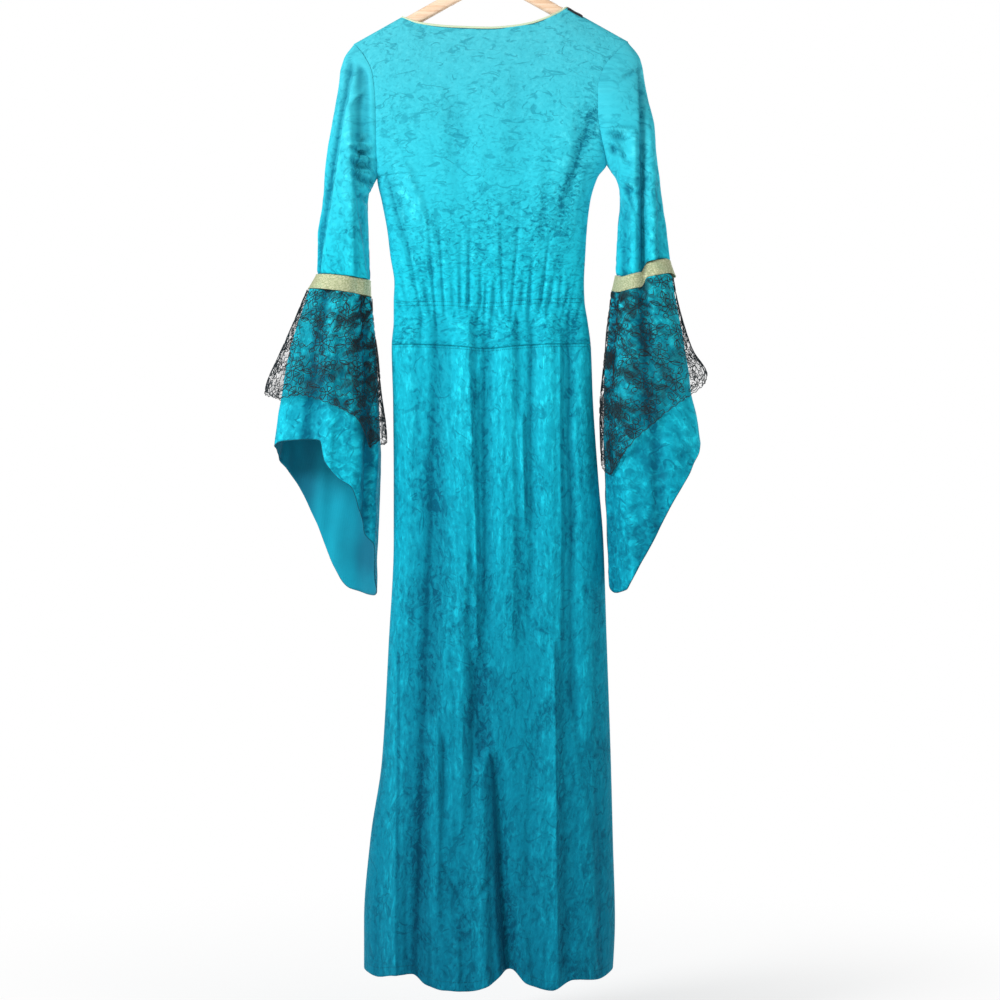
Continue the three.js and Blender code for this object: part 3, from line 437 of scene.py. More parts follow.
def body_relief(side, across, x, drop):
    """Folds, gathers, seams and dents of the body's cloth, the same on both sides of the hip seam."""
    skirt_share = smooth((drop - DENT_CHANGE_DROP) / (DENT_FULL_DROP - DENT_CHANGE_DROP))
    wandering = x + 4.0 * skirt_share * dents(0 * x, drop, 1, 140, 2)
    relief = gather_height(side["gathers"], x, drop)
    for folds, fade in zip(side["folds"], FADES):
        relief += fold_height(folds, wandering, drop, fade)
    relief += (1 - skirt_share) * (1.6 * dents(x, drop, 34, 26) + 0.8 * dents(x, drop, 13, 9, 1))
    relief += skirt_share * (2.8 * dents(x, drop, 22, 120, 3) + 1.5 * dents(x, drop, 10, 46, 4))
    below_hip = drop - hip_drop(across)
    relief -= WAIST_GROOVE * near(drop - WAIST_DROP, 3.2) + HIP_GROOVE * near(below_hip, 3.0)
    return relief + PUCKER * dents(x, 0 * drop, 9, 1, 5) * near(below_hip, PUCKER_REACH)


# %% [markdown]
# The velvet is painted darker, with closer flecks, in some places than in others: along the right underarm,
# above the waist and, on the skirt, in a dark patch a little left of the middle, in the valley of a fold.
# Under the arm and in fold valleys this is painted shade, and elsewhere it is pile pressed flatter than
# around it. Each place is a soft oval with its own share, and it leans. The share is kept with the points of
# the cloth, where the velvet's finish reads it.

# %% Darker places: painted shade and pressed pile
DARKENING_COLUMNS = "x drop wide high lean share"
DARKENING_BACK = table(
    DARKENING_COLUMNS,
    (138, 305, 13, 50, -0.33, 1.0), (112, 390, 14, 60, -0.33, 1.0), (96, 475, 18, 60, -0.2, 0.7),
    (-20, 490, 80, 60, 0, 0.4), (60, 420, 60, 60, 0, 0.35), (-90, 460, 40, 80, 0, 0.3),
    (-18, 1070, 15, 34, 0.1, 0.9), (-24, 1130, 14, 40, -0.1, 1.0), (-14, 1180, 13, 36, 0.3, 1.0),
    (-22, 1230, 12, 30, 0, 0.8), (-88, 1080, 18, 60, 0, 0.6), (-78, 760, 20, 90, 0, 0.4),
    (-68, 1000, 24, 90, 0, 0.4), (30, 1000, 40, 60, 0, 0.4), (20, 1440, 20, 60, 0.1, 0.8),
    (-30, 1400, 22, 50, 0, 0.7), (-105, 1300, 14, 120, 0, 0.6), (130, 1440, 40, 60, 0, 0.4),
    (60, 900, 30, 70, 0, 0.3), (10, 590, 46, 26, 0, 0.5), (90, 590, 30, 26, 0, 0.4),
    (-128, 600, 14, 40, 0, 0.4),
)
DARKENING_FRONT = table(
    DARKENING_COLUMNS,
    (-140, 330, 13, 60, 0.25, 0.8), (120, 430, 14, 70, -0.3, 0.8), (0, 480, 80, 60, 0, 0.45),
    (40, 280, 60, 40, 0, 0.3), (-20, 1120, 15, 60, 0.1, 0.9), (70, 900, 30, 90, 0, 0.4),
    (-80, 1300, 24, 90, 0, 0.6), (40, 1430, 30, 60, 0, 0.6),
)
BACK["crushed"], FRONT["crushed"] = DARKENING_BACK, DARKENING_FRONT


def darkening_share(rows, x, drop):
    share = np.zeros_like(x)
    for row in each_row(rows):
        away = drop - row["drop"]
        aside = x - row["x"] - row["lean"] * away
        share = np.maximum(share, row["share"] * near(aside, row["wide"]) * near(away, row["high"]))
    return share


# %% [markdown]
# The bodice hangs from the hanger's arms, so its cloth first turns over an arm, in a small round, and then
# opens out to the depth of the body. Above the armpit its side is the edge of the armhole, and below it the
# side seam.

# %% The bodice's form
SIDE_ROUNDNESS, SPREAD, OPENING = 3, 0.32, 0.4
SIDE_GROOVE, SIDE_GROOVE_WIDTH = 0.6, 3
UPPER_SHARE = 0.46


def roof(x):
    return SHOULDER_CREST + SHOULDER_SLOPE * np.abs(x)


def cover(below):
    """How far the cloth stands out at a distance below the top of the hanger's arm."""
    reach = np.maximum(below, 0) / SLOPE_LENGTH
    rounded = np.minimum(reach, SHOULDER_FOLD)
    over_arm = np.sqrt(SHOULDER_FOLD ** 2 - (SHOULDER_FOLD - rounded) ** 2)
    return over_arm + OPENING * np.maximum(reach - SHOULDER_FOLD, 0)


def side_shape(across, power):
    return np.maximum(1 - np.abs(2 * across - 1) ** SIDE_ROUNDNESS, 0) ** (1 / power)


def bodice_top(side, across):
    x = mix(TIP_LEFT, TIP_RIGHT, across)
    return np.where((x > NECK_LEFT) & (x < NECK_RIGHT), side["neck"](x), roof(x))


def bodice_drop(side, across, down):
    armpit = mix(ARMPIT_LEFT, ARMPIT_RIGHT, across)
    turned = np.clip(down / UPPER_SHARE, 0, 1)
    upper = mix(bodice_top(side, across), armpit, half_round(turned))
    lower = mix(armpit, hip_drop(across), np.clip((down - UPPER_SHARE) / (1 - UPPER_SHARE), 0, 1))
    return np.where(down <= UPPER_SHARE, upper, lower)


def spread(across):
    """Moves columns closer together towards the sides, where the cloth turns away."""
    return mix(across, half_round(across), SPREAD)


def bodice_place(side, across, down):
    """Points of a bodice half. The back runs from -X to +X and the front from +X to -X."""
    across = spread(across if side["facing"] < 0 else 1 - across)
    drop = bodice_drop(side, across, down)
    left_drop, right_drop = bodice_drop(side, 0 * across, down), bodice_drop(side, 0 * across + 1, down)
    turned = np.clip(down / UPPER_SHARE, 0, 1)
    is_upper = down <= UPPER_SHARE
    left = np.where(is_upper, armhole_left(left_drop), body_left(left_drop))
    right = np.where(is_upper, armhole_right(right_drop), body_right(right_drop))
    x = mix(left, right, across)
    edge = ARMHOLE_DEPTH * np.sin(np.pi * turned)
    shape = side_shape(across, 1 + smooth((turned - 0.3) / 0.7))
    middle = np.minimum(side["depth"](drop), cover(drop - roof(x)))
    relief = body_relief(side, across, x, drop)
    depth = mix(edge, middle, shape) + relief * side_shape(across, 1) * smooth(middle / 20)
    groove = SIDE_GROOVE * (near(x - left, SIDE_GROOVE_WIDTH) + near(right - x, SIDE_GROOVE_WIDTH))
    depth = np.maximum(depth - groove * is_upper * smooth(turned * 6), 0)
    points = np.stack([x, side["facing"] * (SEAM / 2 + depth), -drop], axis=1)
    return points, relief, darkening_share(side["crushed"], x, drop)


# %% [markdown]
# The skirt hangs from the hip seam. It carries the same folds as the bodice, so they run on through the
# seam. It is placed by its sections alone, as nothing below the hip holds it.

# %% The skirt's form
def skirt_place(side, across, down):
    across = spread(across if side["facing"] < 0 else 1 - across)
    drop = mix(hip_drop(across) + 1.5 * SEAM, side["hem"](across), down)
    x = mix(body_left(drop), body_right(drop), across)
    relief = body_relief(side, across, x, drop)
    depth = side["depth"](drop) * side_shape(across, 2) + relief * side_shape(across, 1)
    points = np.stack([x, side["facing"] * (SEAM / 2 + depth), -drop], axis=1)
    return points, relief, darkening_share(side["crushed"], x, drop)


# %% [markdown]
# A shader is a graph of nodes, and most of it is arithmetic. This small class wraps a socket so that the
# arithmetic can be written as Python: each operator adds the Math node that it stands for. Colours are
# never sent through a Math node, because that turns them grey. They go through Mix.

# %% Shader maths
class Value:
    """A socket of a shader, which takes part in sums."""

    def __init__(self, graph, socket):
        self.graph, self.socket = graph, socket

    def math(self, operation, *others):
        inputs = dict(enumerate([self, *others]))
        return self.graph.node("ShaderNodeMath", {"operation": operation}, inputs)

    def __add__(self, other):
        return self.math("ADD", other)

    def __sub__(self, other):
        return self.math("SUBTRACT", other)

    def __mul__(self, other):
        return self.math("MULTIPLY", other)

    def __truediv__(self, other):
        return self.math("DIVIDE", other)

    def __rsub__(self, other):
        return self.graph.node("ShaderNodeMath", {"operation": "SUBTRACT"}, {0: other, 1: self})

    __radd__, __rmul__ = __add__, __mul__


class Graph:
    """A material's nodes."""

    def __init__(self, name):
        self.material = bpy.data.materials.new(name)
        self.material.use_nodes = True
        self.tree = self.material.node_tree
        self.shader = self.tree.nodes["Principled BSDF"]

    def node(self, kind, settings=(), inputs=(), output=0):
        node = self.tree.nodes.new(kind)
        for name, setting in dict(settings).items():
            if name == "stops":
                while len(node.color_ramp.elements) < len(setting):
                    node.color_ramp.elements.new(0.5)
                for element, (position, colour) in zip(node.color_ramp.elements, setting):
                    element.position, element.color = position, (*colour, 1)
            else:
                setattr(node, name, setting)
        for name, value in dict(inputs).items():
            self.put(node.inputs[name], value)
        return Value(self, node.outputs[output])

    def put(self, socket, value):
        if isinstance(value, Value):
            self.tree.links.new(value.socket, socket)
        else:
            socket.default_value = value

    def set(self, **sockets):
        """Sets sockets of the main shader, named with _ for a space."""
        for name, value in sockets.items():
            self.put(self.shader.inputs[name.replace("_", " ").title().replace("Ior", "IOR")], value)

    def cloth_map(self):
        return self.node("ShaderNodeUVMap", {"uv_map": "cloth"})

    def measure(self, name):
        """One of the values that each point of a cloth keeps."""
        return self.node("ShaderNodeAttribute", {"attribute_name": name}, output=2)

    def place(self):
        return self.node("ShaderNodeTexCoord", output="Object")

    def scaled(self, vector, scale, turn=0.0):
        return self.node("ShaderNodeMapping", {}, {0: vector, "Scale": scale, "Rotation": (0, 0, turn)})

    def noise(self, vector, scale=1.0, detail=2.0, rough=0.5, twist=0.0):
        return self.node("ShaderNodeTexNoise", {}, {
            "Vector": vector, "Scale": scale, "Detail": detail, "Roughness": rough, "Distortion": twist})

    def step(self, value, low, high, to_low=0.0, to_high=1.0):
        """A smooth step of a value, from low to high."""
        return self.node("ShaderNodeMapRange", {"interpolation_type": "SMOOTHSTEP"}, {
            "Value": value, "From Min": low, "From Max": high, "To Min": to_low, "To Max": to_high})

    def blend(self, share, low, high):
        """Mixes two colours."""
        return self.node("ShaderNodeMix", {"data_type": "RGBA"}, {0: share, 6: low, 7: high}, output=2)

    def tint(self, colour_value, factors):
        """Multiplies a colour, part by part."""
        return self.node("ShaderNodeMix", {"data_type": "RGBA", "blend_type": "MULTIPLY"}, {
            0: 1.0, 6: colour_value, 7: factors}, output=2)

    def parts(self, vector):
        node = self.tree.nodes.new("ShaderNodeSeparateXYZ")
        self.put(node.inputs[0], vector)
        return [Value(self, socket) for socket in node.outputs]

    def bump(self, height, distance, strength=1.0):
        self.set(normal=self.node("ShaderNodeBump", {}, {
            "Height": height, "Distance": distance, "Strength": strength}))


def colour(red, green, blue):
    """A colour as a screen shows it, from 0 to 255, turned into the linear one that a shader takes."""
    shown = (red / 255, green / 255, blue / 255)
    return (*[c / 12.92 if c <= 0.04045 else ((c + 0.055) / 1.055) ** 2.4 for c in shown], 1.0)


# %% [markdown]
# Crushed velvet has a short pile pressed flat in different directions. Millions of hairs would be too
# heavy, so the pile is a finish. Where it leans towards the light it shines, and where it leans away it is
# dark, in small ragged flecks and creases. On the bodice they are small, dark and mostly level, and closer
# together towards the waist. On the skirt they are longer and upright, with painted highlights in streaks
# along the folds. All the finishes come from the same function with other sizes and shares. The colour is
# painted darker from the shoulders to the hem, as painted shade where the light falls off. The folds carry
# painted shade in their hollows and on the slopes that turn from the key light, and painted light on their
# crests and on the slopes that turn towards it.

# %% Crushed velvet
SHOULDER_Z, HEM_Z = -0.13, -1.53
# The ramp by height is painted shade: one teal velvet, painted darker from the shoulders (0) to the hem (1)
# where the light falls off.
VELVET_SHADES = [
    (0.0, (74, 187, 202)), (0.14, (52, 194, 213)), (0.28, (24, 192, 214)), (0.36, (18, 177, 201)),
    (0.5, (8, 154, 180)), (0.72, (5, 132, 159)), (1.0, (3, 112, 140)),
]
# PALER tints the painted highlights, and DARKER tints the dark flecks and the painted shade.
PALER, DARKER = (3.4, 1.75, 1.6, 1), (0.1, 0.32, 0.4, 1)


def crushed_velvet(name, crease, fleck, streak, shares):
    """Crushed velvet. crease, fleck and streak say how often each comes in a metre, across and along."""
    g = Graph(name)
    cloth = g.cloth_map()
    height = g.parts(g.place())[2]
    down = (height - SHOULDER_Z) / (HEM_Z - SHOULDER_Z)
    # Painted shade: the colour darkens towards the hem as the light falls off.
    stops = [(at, colour(*shown)[:3]) for at, shown in VELVET_SHADES]
    shade = g.node("ShaderNodeValToRGB", {"stops": stops}, {0: down})
    relief, rise, crushed = g.measure("relief"), g.measure("rise"), g.measure("crushed")
    # Painted light on the crests and on the slopes that rise towards +X, which face the key light, and
    # painted shade in the hollows and on the slopes that fall.
    crest = g.step(relief, 0.5, 6.5) * 0.6 + g.step(rise, 0.06, 0.6) * 0.5
    hollow = g.step(relief, -0.5, -6.5) * 0.6 + g.step(rise, -0.06, -0.6) * 0.5

    broad = g.noise(g.scaled(cloth, (16, 10, 1), 0.3), detail=3.0, rough=0.6)
    lines = g.noise(g.scaled(cloth, (*crease, 1), 0.1), detail=2.0, rough=0.6, twist=1.0)
    broken = g.noise(g.scaled(cloth, (crease[0] * 2, crease[1] * 1.2, 1)), detail=2.0)
    specks = g.noise(g.scaled(cloth, (*fleck, 1)), detail=3.0, rough=0.6, twist=0.6)
    blots = g.noise(g.scaled(cloth, (fleck[0] * 0.55, fleck[1] * 0.6, 1)), detail=2.0, rough=0.6, twist=1.1)
    pile = g.noise(g.scaled(cloth, (*streak, 1)), detail=4.0, rough=0.65, twist=0.3)

    # The darkening share crowds the flecks and darkens the broad patches: painted shade under the arms, in
    # fold valleys and beside the body, and pile pressed flatter elsewhere.
    crowded = g.step(broad * 0.6 + crushed * 0.25 + g.step(down, 0.02, 0.3) * 0.12, 0.28, 0.62)
    line = g.step((lines - 0.5).math("ABSOLUTE"), 0.03, 0.012) * g.step(broken, 0.48, 0.56)
    speck = g.step(specks + crowded * -0.08, 0.46, 0.34) * 0.6 + g.step(blots + crowded * -0.1, 0.43, 0.31)
    dark = (line * shares["line"]).math("MAXIMUM", speck * shares["speck"] * (crowded * 0.65 + 0.35))
    # The dark flecks, creases and grain are the pile's own pattern. The hollow share adds painted shade, and
    # the broad patches follow the darkening share.
    dark = dark + hollow * shares["hollow"] + g.step(pile, 0.5, 0.3) * shares["grain"]
    dark = dark + g.step(broad + crushed * 0.12, 0.52, 0.74) * shares["broad"]
    # Painted highlights: shine along the streaks of the pile, strongest on the crests, and glints in small
    # bright flecks.
    light = g.step(pile, 0.5, 0.68) * (crest * 0.8 + shares["shine"]) + crest * shares["crest"]
    light = light + g.step(specks, 0.52, 0.68) * shares["glint"]

    base = g.blend(light.math("MINIMUM", 1.0), shade, g.tint(shade, PALER))
    base = g.blend(dark.math("MINIMUM", 0.95), base, g.tint(shade, DARKER))
    g.set(base_color=base, roughness=g.step(pile, 0.3, 0.7, 0.78, 0.6), specular_ior_level=0.06,
          sheen_weight=0.25, sheen_roughness=0.4, sheen_tint=(0.1, 0.75, 0.9, 1))
    g.bump(pile * 0.5 + dark * -0.9 + specks * 0.5, 0.0014, 0.8)
    return g.material


# The bodice looks paler and the skirt deeper only through the painted shade of the height ramp. The two
# finishes differ in the size and lie of their flecks and streaks, and in their shares of painted light and
# shade.
VELVET_BODICE = crushed_velvet("velvet_bodice", (18, 42), (150, 220), (90, 60), {
    "line": 0.42, "speck": 0.58, "hollow": 0.45, "grain": 0.1,
    "shine": 0.05, "crest": 0.12, "broad": 0.05, "glint": 0.12,
})
VELVET_SLEEVE = crushed_velvet("velvet_sleeve", (20, 24), (130, 110), (80, 70), {
    "line": 0.3, "speck": 0.5, "hollow": 0.72, "grain": 0.1,
    "shine": 0.04, "crest": 0.22, "broad": 0.1, "glint": 0.06,
})
VELVET_SKIRT = crushed_velvet("velvet_deep", (26, 18), (180, 115), (160, 44), {
    "line": 0.4, "speck": 0.4, "hollow": 0.64, "grain": 0.22,
    "shine": 0.2, "crest": 0.26, "broad": 0.2, "glint": 0.22,
})
VELVET_FLOUNCE = crushed_velvet("velvet_flounce", (30, 24), (110, 90), (90, 56), {
    "line": 0.5, "speck": 0.32, "hollow": 0.7, "grain": 0.22,
    "shine": 0.3, "crest": 0.4, "broad": 0.24, "glint": 0.7,
})

# %% [markdown]
# The wrong side of velvet is a smooth knit with a fine rib, a little darker than the pile. It shows inside
# the flounces, through the neck and inside the hem. Its colour carries painted light and shade on the folds:
# lighter where the relief is low and the cloth bulges in towards the inside, darker where the relief is high.

# %% The wrong side of the velvet
def knit_back():
    g = Graph("velvet_wrong_side")
    across, along, _ = g.parts(g.cloth_map())
    rib = (across * 2200).math("SINE") * 0.5 + 0.5
    stitch = (along * 3000).math("SINE") * 0.5 + 0.5
    cloudy = g.noise(g.scaled(g.cloth_map(), (14, 9, 1)), detail=3.0)
    # Painted light and shade: the relief makes the inside lighter where it bulges in and darker where it
    # falls back.
    tone = g.step(cloudy, 0.35, 0.7) * 0.4 + g.step(g.measure("relief"), 5.0, -5.0) * 0.6
    g.set(base_color=g.blend(tone, colour(0, 104, 130), colour(0, 156, 182)),
          roughness=0.8, sheen_weight=0.15, sheen_tint=(0.5, 0.9, 1.0, 1), specular_ior_level=0.2)
    g.bump(rib * stitch, 0.00025, 0.6)
    return g.material


WRONG_SIDE = knit_back()

# %% [markdown]
# Now the four velvet panels of the body are hung. Each is one cloth with its own thickness.

# %% Bodice and skirt panels
BODICE = {
    "place": bodice_place, "flat": (0.42, 0.5), "held": "gathered",
    "slot": "velvet_light", "finish": VELVET_BODICE,
}
SKIRT = {
    "place": skirt_place, "flat": (0.46, 0.92), "held": "hung",
    "slot": "velvet_deep", "finish": VELVET_SKIRT,
}


def hang_panel(name, kind, side, columns, rows):
    panel = hang(name + "_cloth", columns, rows, lambda across, down: kind["place"](side, across, down))
    thicken(panel, VELVET_THICKNESS, 1)
    finish_piece(panel, [name], [kind["finish"], WRONG_SIDE])


hang_panel("back_bodice", BODICE, BACK, 230, 170)
hang_panel("front_bodice", BODICE, FRONT, 120, 110)
hang_panel("back_skirt", SKIRT, BACK, 190, 250)
hang_panel("front_skirt", SKIRT, FRONT, 130, 180)

# %% [markdown]
# A sleeve is a tube from the slanting armhole to the level cuff. Its rings turn from one to the other.
# Folds run down its front by angle, and down its back by place along X, where the photograph shows them.
# Under the arm the cloth bunches in short creases that run across.

# %% Sleeves
RING_COLUMNS = "down minus_x minus_drop plus_x plus_drop depth"
SLEEVE_LEFT = table(
    RING_COLUMNS,
    (0, -202, 181, -168, 374, 26), (0.08, -218, 205, -174, 386, 33), (0.2, -223, 250, -180, 397, 37),
    (0.32, -231, 298, -181, 414, 39), (0.45, -239, 349, -181, 436, 40), (0.6, -246, 407, -180, 462, 40),
    (0.8, -254, 465, -179, 492, 39), (1, -255, 515, -178, 524, 38),
)
SLEEVE_RIGHT = table(
    RING_COLUMNS,
    (0, 165, 355, 196, 178, 26), (0.08, 171, 365, 215, 204, 33), (0.2, 179, 377, 223, 250, 37),
    (0.32, 183, 394, 231, 298, 39), (0.45, 184, 417, 238, 349, 40), (0.6, 181, 446, 245, 402, 40),
    (0.8, 179, 484, 252, 455, 39), (1, 178, 516, 257, 498, 38),
)
SLEEVE_FOLDS_LEFT = table(TURN_COLUMNS, (235, 250, -5, -6, 18), (310, 300, -4, -5, 16), (275, 270, 3, 3, 12))
SLEEVE_FOLDS_RIGHT = table(TURN_COLUMNS, (238, 232, -5, -7, 18), (300, 312, -4, -5, 16), (268, 272, 3, 3, 12))
SLEEVE_LINES_LEFT = table(
    FOLD_COLUMNS,
    (-204, -276, 200, 620, -6, -7.5, 4.5), (-201, -165, 340, 640, -7, -9, 4.5),
    (-192, -188, 205, 400, -8, -9, 10), (-216, -284, 200, 620, 3, 3, 5), (-206, -200, 260, 600, 4, 5, 7),
    (-196, -174, 350, 620, 4, 5, 4), (-178, -172, 440, 640, 4, 5, 5),
)
SLEEVE_LINES_RIGHT = table(
    FOLD_COLUMNS,
    (216, 213, 200, 620, -6, -18, 5), (184, 210, 372, 450, -7, -6, 5), (230, 230, 250, 620, 2, 6, 6),
    (203, 203, 300, 620, 4, 3, 6), (190, 186, 400, 620, -6, -7, 9), (238, 243, 320, 620, -3, -4, 4),
)
BUNCH_COLUMNS = "x drop reach height width slant"
SLEEVE_BUNCHES_LEFT = table(
    BUNCH_COLUMNS,
    (-186, 322, 14, -4, 4.5, -0.1), (-185, 332, 15, 5, 4, 0.0), (-186, 341, 15, -6, 4, 0.05),
    (-186, 350, 14, 6, 3.6, 0.1), (-186, 360, 15, -8, 4.5, 0.1), (-185, 370, 14, 4, 3.2, 0.15),
    (-183, 380, 14, -7, 5, 0.2), (-180, 394, 10, 4, 5, 0.4), (-180, 408, 9, -5, 6, 0.4),
    (-196, 262, 9, 4, 5, -1.2),
)
SLEEVE_BUNCHES_RIGHT = table(
    BUNCH_COLUMNS,
    (182, 311, 17, 5, 3.6, 0.0), (181, 320, 15, -7, 4.5, 0.05), (172, 338, 7, -6, 5, 0.6),
    (181, 336, 7, 5, 3.6, 1.0), (187, 346, 8, -5, 4, 0.9), (194, 388, 9, 5, 4, 0.4),
    (203, 398, 9, -6, 5, 0.4), (200, 228, 16, -4, 5, -0.6),
)
SLEEVE_LENGTH, SLEEVE_GIRTH, SLEEVE_FADE = 340.0, 260.0, 25.0
SLEEVE_OVERLAP = 3 * SEAM
ARMHOLE_SHARE, ARMHOLE_FADE, CUFF_FADE = 0.3, 0.06, 0.03
RING_ROUNDNESS, CUFF_GROOVE = 0.9, 1.2


def ring_place(ring, turned, relief):
    """A point on a ring: turned runs from 0 at -X over the back to 1 at +X, and to 2 over the front."""
    share, wave = half_round(turned), np.sin(np.pi * turned)
    x = mix(ring["minus_x"], ring["plus_x"], share) - relief * np.cos(np.pi * turned)
    y = -(ring["depth"] + relief) * np.sign(wave) * np.abs(wave) ** RING_ROUNDNESS
    return np.stack([x, y, -mix(ring["minus_drop"], ring["plus_drop"], share)], axis=1)


def step_down(step, degrees):
    """How far a level seam is drawn down before a deep fold and up after it, on the back of the sleeve."""
    across_fold = 1 - 2 * smooth((np.mod(degrees, 360) - 82) / 14)
    return step * across_fold * smooth(np.sin(np.radians(degrees)) * 1.4)


def bunch_height(rows, x, drop):
    """Short creases across the sleeve. A slant above 0 runs down to the right."""
    height = np.zeros_like(x)
    for row in each_row(rows):
        away = x - row["x"]
        off = drop - row["drop"] - row["slant"] * away
        height += row["height"] * near(off, row["width"]) * near(away, row["reach"])
    return height


def sleeve_place(sleeve, across, down):
    """Points of a sleeve. Its seam lies on the body's armhole, and its rings take over from there."""
    rings = sleeve["rings"]
    turned = 2 * across + sleeve["first_turn"]
    degrees, share = 180 * turned, half_round(turned)
    ring = {key: follow(rings, "down", key)(down) for key in rings if key != "down"}
    first_ring = {key: column[0] for key, column in rings.items()}
    seam_drop = mix(first_ring["minus_drop"], first_ring["plus_drop"], share)
    seam_x = sleeve["armhole"](seam_drop) + sleeve["overlap"]
    to_seam = seam_x - mix(first_ring["minus_x"], first_ring["plus_x"], share)
    shift = to_seam * (1 - smooth(down / ARMHOLE_SHARE))
    x = mix(ring["minus_x"], ring["plus_x"], share) + shift
    drop = mix(ring["minus_drop"], ring["plus_drop"], share)

    near_armhole, near_cuff = smooth(down / ARMHOLE_FADE), smooth((1 - down) / CUFF_FADE)
    on_back = smooth(np.sin(np.pi * turned) * 5) * near_armhole
    bunches = bunch_height(sleeve["bunches"], x, drop) * on_back
    relief = fold_round(sleeve["folds"], degrees, down) * smooth(down / 0.2) + bunches
    relief += fold_height(sleeve["lines"], x, drop, SLEEVE_FADE) * on_back
    length, girth = SLEEVE_LENGTH * down, SLEEVE_GIRTH * across
    soft = 1.2 * dents(girth, length, 21, 30, 6) + 0.7 * dents(girth, length, 10, 14, 7)
    relief += soft * near_armhole * near_cuff
    relief -= CUFF_GROOVE * near(SLEEVE_LENGTH - length, 5)
    points = ring_place(ring, turned, relief)
    points[:, 0] += shift
    points[:, 2] -= step_down(sleeve["step"], degrees) * smooth((down - 0.7) / 0.3)
    # The darkening share is 0.25 over the sleeve, and more where it bunches under the arm: painted shade in
    # those creases.
    return points, relief, 0.25 + np.minimum(np.abs(bunches) / 10, 0.3)


STEP_LEFT, STEP_RIGHT = 0.0, 6.0
LEFT_SLEEVE = {
    "rings": SLEEVE_LEFT, "folds": SLEEVE_FOLDS_LEFT, "lines": SLEEVE_LINES_LEFT,
    "bunches": SLEEVE_BUNCHES_LEFT, "armhole": armhole_left, "overlap": SLEEVE_OVERLAP, "first_turn": 1,
    "step": STEP_LEFT,
}
RIGHT_SLEEVE = {
    "rings": SLEEVE_RIGHT, "folds": SLEEVE_FOLDS_RIGHT, "lines": SLEEVE_LINES_RIGHT,
    "bunches": SLEEVE_BUNCHES_RIGHT, "armhole": armhole_right, "overlap": -SLEEVE_OVERLAP, "first_turn": 0,
    "step": STEP_RIGHT,
}
CLOSER_ROWS = 1.25


def hang_sleeve(name, sleeve):
    """A sleeve, with its rows closer together towards the armhole."""

    def place(across, down):
        return sleeve_place(sleeve, across, down ** CLOSER_ROWS)

    piece = hang(name + "_cloth", 124, 146, place, is_tube=True)
    thicken(piece, VELVET_THICKNESS, 1)
    finish_piece(piece, [name], [VELVET_SLEEVE, WRONG_SIDE])


hang_sleeve("sleeve_left", LEFT_SLEEVE)
hang_sleeve("sleeve_right", RIGHT_SLEEVE)

# %% [markdown]
# The bands are woven ribbon with a pale metal thread. A band covers the seam where the flounces join the
# sleeve, so it stands a little proud of both. Its edges are a touch thicker, as a ribbon's selvedges are.
# On the right sleeve the deep fold draws the band into a step.

# %% Gold bands
def gold_weave():
    g = Graph("gold_band")
    across, along, _ = g.parts(g.cloth_map())
    warp = (across * 3400).math("SINE")
    weft = (along * 4200).math("SINE")
    weave = warp * weft * 0.5 + 0.5
    glint = g.noise(g.scaled(g.cloth_map(), (420, 420, 1)), detail=3.0, rough=0.7)
    worn = g.noise(g.scaled(g.cloth_map(), (30, 40, 1)), detail=3.0)
    thread = g.blend(g.step(glint, 0.38, 0.66), colour(150, 160, 116), colour(212, 214, 176))
    base = g.blend(g.step(worn, 0.5, 0.75, 0.0, 0.45), thread, colour(150, 178, 140))
    g.set(base_color=base, roughness=g.step(glint, 0.3, 0.7, 0.62, 0.36),
          metallic=g.step(glint, 0.4, 0.7, 0.1, 0.45), specular_ior_level=0.5)
    g.bump(weave + glint * 0.7, 0.0004, 0.7)
    return g.material


def pale_binding():
    g = Graph("neck_binding")
    weave = g.noise(g.scaled(g.place(), (900, 900, 900)), detail=2.0)
    g.set(base_color=g.blend(weave, colour(176, 200, 168), colour(222, 228, 190)), roughness=0.6)
    g.bump(weave, 0.0003, 0.5)
    return g.material


GOLD, BINDING = gold_weave(), pale_binding()
BAND_LEFT = {"minus_x": -267, "minus_drop": 536, "plus_x": -177, "plus_drop": 548, "depth": 42}
BAND_RIGHT = {"minus_x": 173, "minus_drop": 539, "plus_x": 264, "plus_drop": 519, "depth": 42}
BAND_FOLD_LEFT = table(TURN_COLUMNS, (128, 128, -3, -3, 16))
BAND_FOLD_RIGHT = table(TURN_COLUMNS, (92, 92, -13, -11, 14))
BAND_THICKNESS, BAND_PROUD, SELVEDGE, SELVEDGE_WIDTH = 0.9 * MM, 0.7, 0.5, 0.09


def hang_band(side, sleeve, lower, folds):
    """A band from the sleeve's last ring down to a ring of its own."""
    upper = {key: sleeve["rings"][key][-1] for key in lower}

    def place(across, down):
        ring = {key: mix(upper[key], lower[key], down) for key in lower}
        for key in ("minus_drop", "plus_drop"):
            ring[key] = ring[key] + mix(2 * SEAM, -0.2, down)
        turned = 2 * across + sleeve["first_turn"]
        selvedge = SELVEDGE * (near(down, SELVEDGE_WIDTH) + near(1 - down, SELVEDGE_WIDTH))
        uneven = 0.8 * dents(across * 285, down * 8, 16, 20, 8)
        relief = fold_round(folds, 180 * turned, down) + BAND_PROUD + selvedge + uneven
        points = ring_place(ring, turned, relief)
        points[:, 2] -= step_down(sleeve["step"], 180 * turned)
        return points, relief, 0 * relief

    band = hang(f"band_{side}_ribbon", 150, 14, place, is_tube=True)
    thicken(band, BAND_THICKNESS)
    finish_piece(band, [f"band_{side}"], [GOLD])


hang_band("left", LEFT_SLEEVE, BAND_LEFT, BAND_FOLD_LEFT)
hang_band("right", RIGHT_SLEEVE, BAND_RIGHT, BAND_FOLD_RIGHT)

